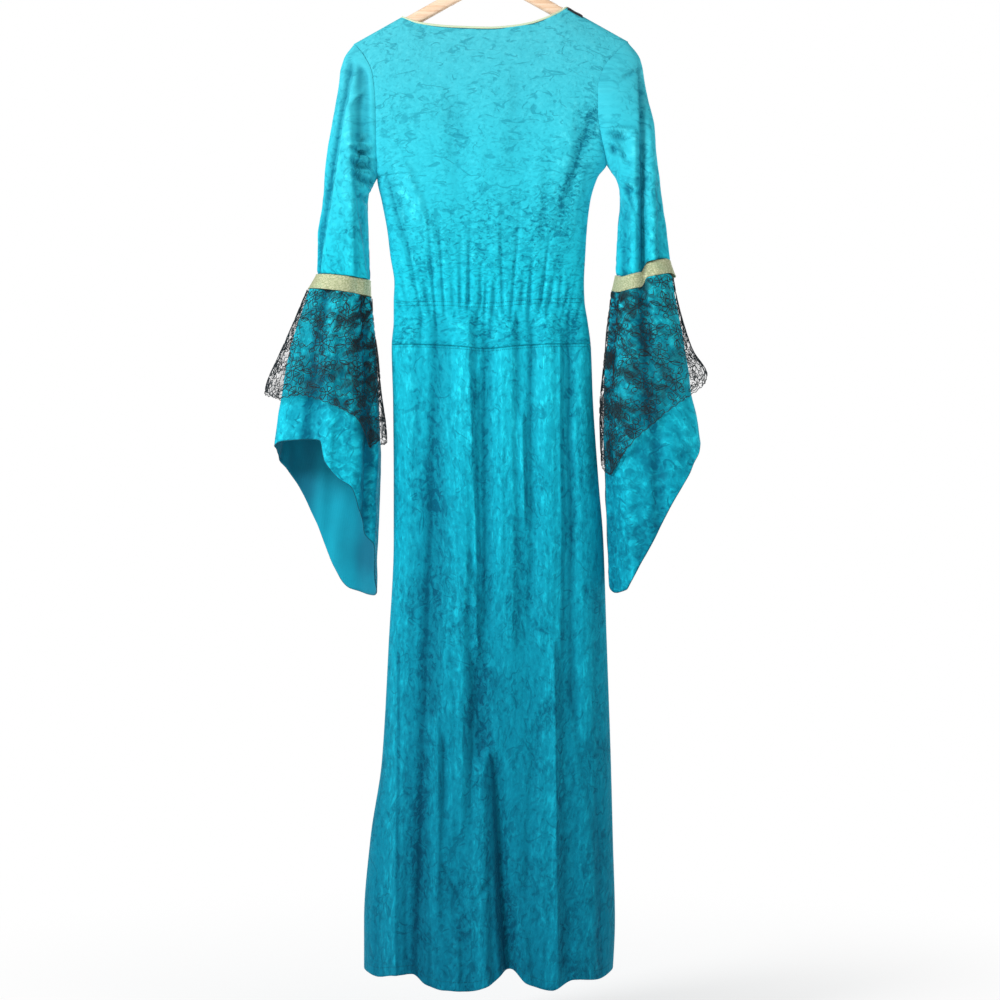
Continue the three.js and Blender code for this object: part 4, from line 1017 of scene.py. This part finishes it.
# %% [markdown]
# Under each band hang two flounces cut to points: a velvet one and, over it, a shorter and wider one of
# lace. Both are bells, so their sections are read by drop, and their hems by the angle round the sleeve. On
# the left one the near edge is short and the far edge long, so the smooth wrong side shows inside.

# %% Forms of the flounces
BELL_COLUMNS = "drop minus_x plus_x depth"
FLOUNCE_LEFT = table(
    BELL_COLUMNS,
    (530, -263, -179, 38), (560, -273, -176, 40), (624, -292, -171, 45), (685, -302, -168, 49),
    (768, -314, -166, 55), (828, -320, -168, 58), (990, -332, -173, 64),
)
FLOUNCE_RIGHT = table(
    BELL_COLUMNS,
    (510, 177, 258, 38), (552, 171, 264, 40), (624, 166, 277, 45), (690, 161, 287, 49), (752, 161, 298, 55),
    (813, 163, 301, 58), (990, 169, 307, 64),
)
LACE_LEFT = table(
    BELL_COLUMNS,
    (530, -268, -174, 43), (559, -280, -173, 46), (595, -294, -171, 50), (632, -309, -167, 54),
    (682, -328, -164, 60), (745, -334, -157, 64), (800, -337, -156, 66),
)
LACE_RIGHT = table(
    BELL_COLUMNS,
    (510, 172, 262, 43), (552, 168, 269, 46), (590, 164, 278, 50), (624, 162, 289, 54), (661, 159, 310, 59),
    (712, 155, 313, 64), (760, 156, 314, 65), (810, 159, 315, 66),
)
HEM_COLUMNS = "angle drop"
FLOUNCE_HEM_LEFT = table(
    HEM_COLUMNS,
    (0, 768), (39, 757), (72, 755), (84, 757), (91, 786), (106, 810), (120, 823), (133, 855), (149, 872),
    (154, 890), (168, 910), (182, 962), (205, 981), (236, 972), (257, 940), (282, 871), (305, 815),
    (330, 788), (360, 768),
)
FLOUNCE_HEM_RIGHT = table(
    HEM_COLUMNS,
    (0, 950), (22, 975), (48, 970), (72, 925), (92, 884), (112, 842), (135, 802), (158, 766), (180, 750),
    (212, 772), (245, 810), (280, 862), (315, 915), (360, 950),
)
LACE_HEM_LEFT = table(
    HEM_COLUMNS,
    (0, 684), (49, 697), (67, 693), (98, 705), (124, 726), (146, 768), (170, 752), (210, 762), (250, 738),
    (300, 704), (360, 684),
)
LACE_HEM_RIGHT = table(
    HEM_COLUMNS,
    (0, 792), (26, 806), (48, 786), (70, 752), (92, 727), (112, 706), (131, 690), (153, 672), (180, 657),
    (215, 672), (255, 712), (310, 764), (360, 792),
)
WAVES_LEFT = table(
    TURN_COLUMNS,
    (30, 28, 1, 7, 16), (70, 72, -6, -11, 12), (92, 94, 4, 5, 5), (114, 122, 3, 7, 13),
    (148, 152, -6, -8, 9), (205, 200, 1, 6, 18), (250, 252, -1, -8, 18), (300, 305, 1, 7, 18),
)
WAVES_RIGHT = table(
    TURN_COLUMNS,
    (60, 56, 3, 7, 12), (88, 96, -8, -9, 10), (132, 148, 3, 7, 15), (28, 24, -6, -3, 9),
    (230, 226, 1, 7, 18), (275, 278, -1, -8, 18), (320, 322, 1, 6, 18),
)
SMALL_WAVES = table(
    TURN_COLUMNS,
    (12, 14, 0.5, 2.5, 7), (56, 50, -0.5, -2.5, 7), (98, 100, 0.5, 3, 7), (140, 142, -0.5, -3, 7),
    (168, 166, 0.5, 2, 7), (228, 226, 0.5, 3, 8), (280, 276, -0.5, -3, 8), (330, 332, 0.5, 3, 8),
)


BELL_OPENING = 250.0


class Bell:
    """A flounce's form: its sections, hem, folds and the slanting seam that it hangs from.

    fineness is the share of the small waves, and hug is how far the cloth lies in under the band.
    """

    def __init__(self, sections, hem, waves, seam, sleeve, fineness=1.0, hug=0.0):
        self.curves = {key: follow(sections, "drop", key) for key in ("minus_x", "plus_x", "depth")}
        self.hem, self.waves, self.seam = follow(hem, "angle", "drop"), waves, seam
        self.step, self.first_turn = sleeve["step"], sleeve["first_turn"]
        self.fineness, self.hug = fineness, hug

    def start(self, turned):
        level = mix(self.seam["minus_drop"], self.seam["plus_drop"], half_round(turned))
        return level + 2 * SEAM + step_down(self.step, 180 * turned)

    def at(self, turned, drop, lift=0.0):
        """Points at a turn and a drop, with their relief and how near they are to the body."""
        turned = np.mod(turned, 2)
        degrees = 180 * turned
        below = np.clip((drop - self.start(turned)) / BELL_OPENING, 0, 1)
        relief = fold_round(self.waves, degrees, below)
        relief = relief + self.fineness * fold_round(SMALL_WAVES, degrees, below)
        relief += self.fineness * 2.4 * dents(degrees, drop, 15, 30, 9) * smooth(below * 5) + lift
        relief -= self.hug * (1 - smooth(below * 1.8))
        ring = {key: curve(drop) for key, curve in self.curves.items()}
        # near_body becomes the darkening share. On a velvet flounce it is painted shade on the side next to
        # the body, and on the lace it makes the net denser there.
        near_body = (1 + np.cos(np.radians(degrees - 180 * self.first_turn))) / 2
        return ring_place({**ring, "minus_drop": drop, "plus_drop": drop}, turned, relief), relief, near_body

    def place(self, across, down):
        turned = 2 * across + self.first_turn
        return self.at(turned, mix(self.start(turned), self.hem(180 * np.mod(turned, 2)), down))


LACE_FINENESS, LACE_HUG = 0.3, 2.5
VELVET_BELLS = {
    "left": Bell(FLOUNCE_LEFT, FLOUNCE_HEM_LEFT, WAVES_LEFT, BAND_LEFT, LEFT_SLEEVE),
    "right": Bell(FLOUNCE_RIGHT, FLOUNCE_HEM_RIGHT, WAVES_RIGHT, BAND_RIGHT, RIGHT_SLEEVE),
}
LACE_BELLS = {
    "left": Bell(LACE_LEFT, LACE_HEM_LEFT, WAVES_LEFT, BAND_LEFT, LEFT_SLEEVE, LACE_FINENESS, LACE_HUG),
    "right": Bell(LACE_RIGHT, LACE_HEM_RIGHT, WAVES_RIGHT, BAND_RIGHT, RIGHT_SLEEVE, LACE_FINENESS, LACE_HUG),
}

# %% [markdown]
# The velvet flounces are hung like the sleeves, each from its band. They need no form of their own beyond
# the bells, because their points are only the hem's own curve.

for side, bell in VELVET_BELLS.items():
    flounce = hang(f"flounce_{side}_cloth", 130, 96, bell.place, is_tube=True)
    thicken(flounce, VELVET_THICKNESS, 1)
    finish_piece(flounce, [f"flounce_{side}"], [VELVET_FLOUNCE, WRONG_SIDE])

# %% [markdown]
# A thin line of cord, thread or binding is easiest as a curve with a round section, turned into a mesh at
# the end. One curve object can hold hundreds of separate lines, so all the cord of a lace flounce is one
# piece.

# %% Lines with a round section
def line_piece(name, lines, radius, sides=0, closed=False):
    """A mesh of round cords along lists of points in millimetres."""
    curve = bpy.data.curves.new(name, "CURVE")
    curve.dimensions = "3D"
    curve.bevel_depth = radius * MM
    curve.bevel_resolution = sides
    curve.use_fill_caps = True
    for points in lines:
        spline = curve.splines.new("POLY")
        spline.points.add(len(points) - 1)
        flat = np.concatenate([np.asarray(points) * MM, np.ones((len(points), 1))], axis=1)
        spline.points.foreach_set("co", flat.ravel())
        spline.use_cyclic_u = closed
    drawn = bpy.data.objects.new(name + "_line", curve)
    bpy.context.scene.collection.objects.link(drawn)
    mesh = bpy.data.meshes.new_from_object(drawn.evaluated_get(bpy.context.evaluated_depsgraph_get()))
    bpy.data.objects.remove(drawn)
    mesh.name = name
    return show(name, mesh)


# %% [markdown]
# The lace is a very fine black net with flowers, leaves and scrolls drawn on it in cord. The net is too
# fine for geometry, so it is a thin cloth with holes in its finish. The cord is geometry: each motif is
# drawn flat from simple formulas, at its true size, and then laid on the bell with a turn and a size of its
# own.

# %% The lace's motifs
def turn_line(line, angle):
    """A flat line turned about the middle of the motif."""
    across, along = line[:, 0], line[:, 1]
    return np.stack([across * math.cos(angle) - along * math.sin(angle),
                     across * math.sin(angle) + along * math.cos(angle)], 1)


def petal(angle, inner, outer, half_width, points=9):
    """A rounded petal that starts and ends near the middle of the flower."""
    share = np.linspace(0, 1, points)
    out = inner + (outer - inner) * np.sin(np.pi * share) ** 0.7
    aside = half_width * np.sin(2 * np.pi * share) * (0.6 + 0.4 * np.sin(np.pi * share))
    return turn_line(np.stack([out, aside], 1), angle)


def flower(petals, reach):
    lines = [petal(2 * math.pi * i / petals, 0.22 * reach, reach, 0.36 * reach) for i in range(petals)]
    ring = np.linspace(0, 2 * np.pi, 8)
    lines.append(np.stack([np.cos(ring), np.sin(ring)], 1) * 0.24 * reach)
    return lines


def leaf(length, half_width):
    share = np.linspace(0, 1, 7)
    along, aside = length * share, half_width * np.sin(np.pi * share) * (1 - 0.3 * share)
    outline = np.concatenate([np.stack([along, aside], 1), np.stack([along, -aside], 1)[::-1]])
    vein = np.array([[0, 0], [length * 0.45, 0.4], [length * 0.8, 0]])
    return [outline, vein]


def scroll(reach, turns=1.15, points=12):
    angle = np.linspace(0, 2 * np.pi * turns, points)
    out = reach * (1 - 0.62 * angle / angle[-1])
    return [np.stack([out * np.cos(angle) - reach, out * np.sin(angle)], 1)]


LEAF_AWAY, SCROLL_AWAY, STEM_ASIDE = 12.5, 20.0, 0.7


def spray(random):
    """One repeat of the lace: a flower with leaves, scrolls and stems about it."""
    drawn = flower(int(random.integers(5, 8)), random.uniform(10, 13))
    first = random.uniform(0, 2 * math.pi)
    for i in range(4):
        turn = first + i * math.pi / 2 + random.uniform(-0.3, 0.3)
        if i % 2:
            away, lines = LEAF_AWAY, leaf(random.uniform(13, 18), random.uniform(3.2, 4.6))
        else:
            away, lines = SCROLL_AWAY, scroll(random.uniform(4, 6))
        bend = turn + random.uniform(-0.5, 0.5)
        drawn += [turn_line(line, bend) + away * np.array([math.cos(turn), math.sin(turn)]) for line in lines]
        share = np.linspace(0, 1, 5)
        stem = np.stack([12 + 13 * share, 3.2 * np.sin(2 * np.pi * share)], 1)
        drawn.append(turn_line(stem, turn + STEM_ASIDE))
    return drawn


# %% [markdown]
# The repeats stand in staggered rows round the bell. A line that runs over the hem is cut there, and a
# scalloped cord finishes the edge. The net is densest in the places where its threads crowd, and near the
# body.

# %% Laying the motifs on the bell
REPEAT_ACROSS, REPEAT_DOWN, LOWEST_REPEAT = 44.0, 36.0, 815.0
CORD_RADIUS, EDGE_RADIUS, CORD_LIFT, SCALLOP = 0.55, 0.5, 0.3, 2.6


def girth(bell, drop):
    """The length round the bell at a drop."""
    ring = bell.at(np.linspace(0, 2, 73), np.full(73, float(drop)))[0]
    return np.linalg.norm(np.diff(ring, axis=0), axis=1).sum()


def lace_lines(bell, seed):
    random = np.random.default_rng(seed)
    lines = []
    top = min(bell.seam["minus_drop"], bell.seam["plus_drop"])
    for row, middle in enumerate(np.arange(top + 10, LOWEST_REPEAT, REPEAT_DOWN)):
        around = girth(bell, middle)
        count = max(5, round(around / REPEAT_ACROSS))
        for i in range(count):
            centre = 2 * (i + 0.5 * (row % 2)) / count + random.uniform(-0.012, 0.012)
            for line in spray(random):
                turned = centre + line[:, 0] * 2 / around
                drop = middle + line[:, 1] + random.uniform(-1, 1)
                hem_drop = bell.hem(180 * np.mod(turned, 2))
                is_in = (drop > bell.start(turned) + EDGE_RADIUS) & (drop < hem_drop - EDGE_RADIUS)
                runs = np.split(np.arange(len(drop)), np.flatnonzero(np.diff(is_in.astype(int))) + 1)
                for run in runs:
                    if len(run) > 1 and is_in[run[0]]:
                        lines.append(bell.at(turned[run], drop[run], CORD_LIFT)[0])
    return lines


def hem_line(bell, points, lift, scallop=0.0, waves=46):
    """A closed line along a bell's hem."""
    turned = np.linspace(0, 2, points, endpoint=False)
    drop = bell.hem(180 * turned) - scallop * np.abs(np.sin(np.pi * turned * waves / 2))
    return bell.at(turned, drop, lift)[0]


def black_cord():
    g = Graph("lace_cord")
    twist = g.noise(g.scaled(g.place(), (900, 900, 900)), detail=2.0)
    g.set(base_color=g.blend(twist, colour(8, 14, 18), colour(38, 50, 56)), roughness=0.7,
          specular_ior_level=0.3)
    g.bump(twist, 0.0003, 0.6)
    return g.material


def fine_net():
    g = Graph("lace_net")
    cloth = g.cloth_map()
    across, along, _ = g.parts(g.scaled(cloth, (1, 1, 1), math.radians(38)))
    thread = ((across * 2600).math("SINE")).math("MAXIMUM", (along * 2600).math("SINE"))
    dense = g.noise(g.scaled(cloth, (64, 54, 1)), detail=3.0, twist=0.8)
    near_body = g.measure("crushed")
    cover_share = g.step(thread, 0.72, 0.95) * 0.3 + g.step(dense, 0.48, 0.6) * (near_body * 0.6 + 0.12)
    g.set(base_color=g.blend(dense, colour(10, 16, 20), colour(30, 42, 48)), roughness=0.8,
          specular_ior_level=0.2, alpha=cover_share.math("MINIMUM", 0.9))
    return g.material


LACE_CORD, LACE_NET = black_cord(), fine_net()


def hang_lace(side, bell, seed):
    nodes = [f"lace_{side}_back", f"lace_{side}_front"]
    cords = line_piece(f"lace_{side}_cords", lace_lines(bell, seed), CORD_RADIUS)
    finish_piece(cords, nodes, [LACE_CORD])
    edge_lines = [hem_line(bell, 400, CORD_LIFT, SCALLOP)]
    edge = line_piece(f"lace_{side}_edge", edge_lines, EDGE_RADIUS, sides=1, closed=True)
    finish_piece(edge, (), [LACE_CORD])
    net = hang(f"lace_{side}_net", 110, 60, bell.place, is_tube=True)
    finish_piece(net, nodes, [LACE_NET])


hang_lace("left", LACE_BELLS["left"], 21)
hang_lace("right", LACE_BELLS["right"], 22)

# %% [markdown]
# Small trims finish the gown: the gold binding of the neck, the dark thread of the overlocked hems, the
# stitches of the waist elastic and the black ribbon of the hanging loop on the right shoulder.

# %% Neck binding
def neck_line(side, lift, lower=0.0, points=120):
    x = np.linspace(NECK_LEFT + 0.5, NECK_RIGHT - 0.5, points)
    drop = side["neck"](x) + lower
    depth = np.minimum(side["depth"](drop), cover(drop - roof(x)))
    shape = side_shape((x - TIP_LEFT) / (TIP_RIGHT - TIP_LEFT), 1)
    return np.stack([x, side["facing"] * (SEAM / 2 + depth * shape + lift), -drop], axis=1)


BINDING_RADIUS = 1.7
SIDES = {"back": BACK, "front": FRONT}
for side_name, side in SIDES.items():
    node = f"neck_binding_{side_name}"
    binding = line_piece(node + "_roll", [neck_line(side, -0.4, 0.6)], BINDING_RADIUS, sides=3)
    finish_piece(binding, [node], [BINDING])

# %% [markdown]
# The seams and hems are sewn with teal thread. Overlocked hems show as a thin dark rolled edge, and the
# waist elastic as two rows of stitches. A texture would blur from close by, so each stitch is a short line.

# %% Hems and stitches
def thread_finish():
    g = Graph("teal_thread")
    g.set(base_color=colour(0, 84, 104), roughness=0.7, specular_ior_level=0.2)
    return g.material


THREAD = thread_finish()
HEM_RADIUS, STITCH_RADIUS = 0.7, 0.32
for side_name, bell in VELVET_BELLS.items():
    hem_lines = [hem_line(bell, 500, -0.6)]
    hem = line_piece(f"flounce_{side_name}_hem", hem_lines, HEM_RADIUS, sides=1, closed=True)
    finish_piece(hem, (), [THREAD])


def stitch_lines(place, side, down, count, gap=0.45, lift=0.25):
    """Short stitch lines along a level line of a panel, at one share of its way down."""
    lines = []
    for i in range(count):
        across = np.linspace(i + 0.1, i + 1 - gap, 4) / count
        points = place(side, 0.02 + 0.96 * across, np.full(4, down))[0]
        points[:, 1] += side["facing"] * lift
        lines.append(points)
    return lines


ARMPIT_MIDDLE, HIP_MIDDLE, ROWS_APART = 365, 619, 0.012
HIP_STITCHES, HEM_STITCHES = 0.004, 0.986
WAIST_DOWN = UPPER_SHARE + (1 - UPPER_SHARE) * (WAIST_DROP - ARMPIT_MIDDLE) / (HIP_MIDDLE - ARMPIT_MIDDLE)
for side_name, side in SIDES.items():
    lines = stitch_lines(bodice_place, side, WAIST_DOWN, 96)
    lines += stitch_lines(bodice_place, side, WAIST_DOWN + ROWS_APART, 96)
    lines += stitch_lines(skirt_place, side, HIP_STITCHES, 110)
    lines += stitch_lines(skirt_place, side, HEM_STITCHES, 130)
    # The dark thread line just below the neck binding is a painted shadow of the binding, not a row of
    # stitching.
    lines.append(neck_line(side, 0.1, 2.7))
    stitches_and_neck_shadow = line_piece(f"stitches_{side_name}", lines, STITCH_RADIUS)
    finish_piece(stitches_and_neck_shadow, (), [THREAD])

# %% [markdown]
# The ribbon of the hanging loop is a short strip of black satin on the shoulder seam. It could be a flat
# box, but it has to follow the turn over the hanger's arm, so it is a small grid on the same form as the
# bodice, a little out from it.

# %% Ribbon of the hanging loop
def satin():
    g = Graph("black_ribbon")
    across, along, _ = g.parts(g.cloth_map())
    rib = (along * 5200).math("SINE") * 0.5 + 0.5
    g.set(base_color=g.blend(rib, colour(14, 15, 18), colour(36, 38, 42)), roughness=0.45,
          specular_ior_level=0.5)
    g.bump(rib, 0.00015, 0.5)
    return g.material


RIBBON_FROM, RIBBON_TO, RIBBON_WIDTH = 108.0, 130.0, 5.0


def ribbon_place(across, down):
    x = mix(RIBBON_FROM, RIBBON_TO, across)
    below = RIBBON_WIDTH * down
    reach = np.clip(below / SLOPE_LENGTH, 0, SHOULDER_FOLD)
    up = (SHOULDER_FOLD - reach) / SHOULDER_FOLD
    lift = 1.5 + 0.25 * np.sin(3 * np.pi * across)
    out = np.sqrt(1 - up * up)
    points = np.stack([x, -(SEAM / 2 + cover(below) + lift * out), -(roof(x) + below) + lift * up], axis=1)
    return points, 0 * x, 0 * x


ribbon = hang("ribbon_loop_strip", 24, 10, ribbon_place)
thicken(ribbon, 0.6 * MM)
finish_piece(ribbon, ["ribbon_loop"], [satin()])

# %% [markdown]
# The hanger is pale varnished wood: one bent bar with rounded edges, and a wire hook. A scaled cube would
# have neither the bend nor the rounding, so the bar's section is set along the arms at many points and
# joined ring to ring. Its grain runs along X in long wavering lines. The hook is a line with a round
# section, as the cords are.

# %% Hanger and hook
def pale_wood():
    g = Graph("hanger_wood")
    place = g.place()
    rings = g.noise(g.scaled(place, (9, 260, 260)), detail=4.0, rough=0.6, twist=0.5)
    pores = g.noise(g.scaled(place, (70, 1500, 1500)), detail=2.0)
    base = g.blend(g.step(rings, 0.35, 0.7), colour(242, 214, 186), colour(224, 184, 148))
    base = g.blend(g.step(pores, 0.62, 0.72, 0.0, 0.5), base, colour(176, 128, 88))
    g.set(base_color=base, roughness=0.38, coat_weight=0.3, coat_roughness=0.2)
    g.bump(rings + pores * 0.6, 0.0003, 0.5)
    return g.material


def hook_wire():
    g = Graph("hook_steel")
    scratches = g.noise(g.scaled(g.place(), (400, 400, 90)), detail=3.0)
    g.set(base_color=colour(196, 198, 202), metallic=1.0, roughness=g.step(scratches, 0.3, 0.7, 0.22, 0.36))
    return g.material


HANGER_CLEARANCE, HANGER_HEIGHT, HANGER_REACH, HANGER_CROWN = 3.7, 20.0, 186.0, 4.0
HANGER_THICKNESS, BAR_ROUNDNESS = 12.0, 3.2
HOOK_RADIUS, HOOK_WIRE = 19.0, 3.6


def hanger_middle(x):
    crown = HANGER_CROWN * near(x, 30)
    return np.stack([x, 0 * x, -(roof(x) + HANGER_CLEARANCE + HANGER_HEIGHT / 2 + crown)], axis=1)


def swept_bar(name, middle, half_thick, half_deep, sides=20):
    """A bar with a rounded section, along points in the X-Z plane and closed at both ends."""
    bar = bmesh.new()
    previous = None
    ends = []
    turns = np.linspace(0, 2 * np.pi, sides, endpoint=False)
    across, up = np.cos(turns), np.sin(turns)
    out = (np.abs(across) ** BAR_ROUNDNESS + np.abs(up) ** BAR_ROUNDNESS) ** (-1 / BAR_ROUNDNESS)
    across, up = across * out * half_thick, up * out * half_deep
    tangents = np.gradient(middle, axis=0)
    taper = np.clip(np.minimum(np.arange(len(middle)), np.arange(len(middle))[::-1]) / 3, 0, 1)
    taper = np.sqrt(1 - (1 - taper) ** 2) * 0.7 + 0.3
    for centre, tangent, share in zip(middle, tangents, taper):
        upright = np.array([-tangent[2], 0, tangent[0]]) / np.hypot(tangent[0], tangent[2])
        places = centre + share * (np.outer(across, (0, 1, 0)) + np.outer(up, upright))
        ring = [bar.verts.new(place * MM) for place in places]
        edges = [bar.edges.new((ring[i], ring[(i + 1) % sides])) for i in range(sides)]
        if previous:
            bmesh.ops.bridge_loops(bar, edges=previous + edges)
        else:
            ends.append(edges)
        previous = edges
    ends.append(previous)
    for edges in ends:
        bmesh.ops.contextual_create(bar, geom=edges)
    bmesh.ops.recalc_face_normals(bar, faces=bar.faces)
    mesh = bpy.data.meshes.new(name)
    bar.to_mesh(mesh)
    bar.free()
    return show(name, mesh)


arms = hanger_middle(np.linspace(-HANGER_REACH - 4, HANGER_REACH + 4, 61))
hanger = swept_bar("hanger_bar", arms, HANGER_THICKNESS / 2, HANGER_HEIGHT / SLOPE_LENGTH / 2)
finish_piece(hanger, ["hanger"], [pale_wood()])

foot = -(SHOULDER_CREST + HANGER_CLEARANCE + HANGER_CROWN)
angles = np.radians(np.linspace(-62, 205, 40))
crook_radius = HOOK_RADIUS + HOOK_WIRE / 2
crook = crook_radius * np.stack([np.cos(angles), 0 * angles, np.sin(angles)], axis=1) - (0, 0, HOOK_RADIUS)
shank = np.array([(0, 0, -6), (0, 0, 4), (0.3, 0, 11), (1.6, 0, 17), (4.2, 0, 23)]) + (0, 0, foot)
hook = line_piece("hook_wire", [np.concatenate([shank, crook])], HOOK_WIRE / 2, sides=4)
finish_piece(hook, ["hook"], [hook_wire()])

# %% [markdown]
# The floor is plain and pale and lies below the hem. Far away it melts into the white of the room, so that
# no horizon shows behind the gown.

# %% Floor and light
FLOOR_DROP = 1.63
FLOOR_SIZE = 30.0


def floor_finish():
    g = Graph("pale_floor")
    across, deep, _ = g.parts(g.place())
    away = (across * across + deep * deep).math("SQRT")
    glow = g.node("ShaderNodeEmission", {}, {"Color": (1, 1, 1, 1), "Strength": 1.0})
    share = g.step(away, 0.2, 1.4, 0.5, 1.0)
    g.set(base_color=(0.95, 0.95, 0.95, 1), roughness=0.9, specular_ior_level=0.1)
    joined = g.node("ShaderNodeMixShader", {}, {0: share, 1: Value(g, g.shader.outputs[0]), 2: glow})
    g.put(g.tree.nodes["Material Output"].inputs["Surface"], joined)
    return g.material


ground = bmesh.new()
bmesh.ops.create_grid(ground, x_segments=4, y_segments=4, size=FLOOR_SIZE / 2)
bmesh.ops.translate(ground, verts=ground.verts, vec=(0, 0, -FLOOR_DROP))
floor_mesh = bpy.data.meshes.new("floor")
ground.to_mesh(floor_mesh)
ground.free()
floor = show("floor", floor_mesh)
floor.data.materials.append(floor_finish())

world = bpy.data.worlds.new("room")
world.use_nodes = True
bpy.context.scene.world = world
sky = world.node_tree
soft = sky.nodes["Background"]
soft.inputs["Color"].default_value = (1, 1, 1, 1)
soft.inputs["Strength"].default_value = 0.4
seen = sky.nodes.new("ShaderNodeBackground")
seen.inputs["Color"].default_value = (1, 1, 1, 1)
seen.inputs["Strength"].default_value = 1.0
path = sky.nodes.new("ShaderNodeLightPath")
either = sky.nodes.new("ShaderNodeMixShader")
sky.links.new(path.outputs["Is Camera Ray"], either.inputs[0])
sky.links.new(soft.outputs[0], either.inputs[1])
sky.links.new(seen.outputs[0], either.inputs[2])
sky.links.new(either.outputs[0], sky.nodes["World Output"].inputs["Surface"])


def soft_light(name, place, aim, size, power):
    data = bpy.data.lights.new(name, "AREA")
    data.shape, data.size, data.energy = "DISK", size, power
    light = bpy.data.objects.new(name, data)
    light.location = place
    light.rotation_euler = (Vector(aim) - Vector(place)).to_track_quat("-Z", "Y").to_euler()
    bpy.context.scene.collection.objects.link(light)


soft_light("key", (-2.1, -1.7, 0.5), (0, 0, -0.5), 0.9, 70)
soft_light("side", (2.3, -1.5, 0.0), (0, 0, -0.8), 1.6, 12)
soft_light("behind", (0.6, 2.6, 0.6), (0, 0, -0.7), 1.8, 36)
bpy.context.scene.view_settings.view_transform = "Standard"
bpy.context.scene.view_settings.look = "None"

# %% [markdown]
# Last, the scene is brought up to date.

# %% The end
bpy.context.view_layer.update()
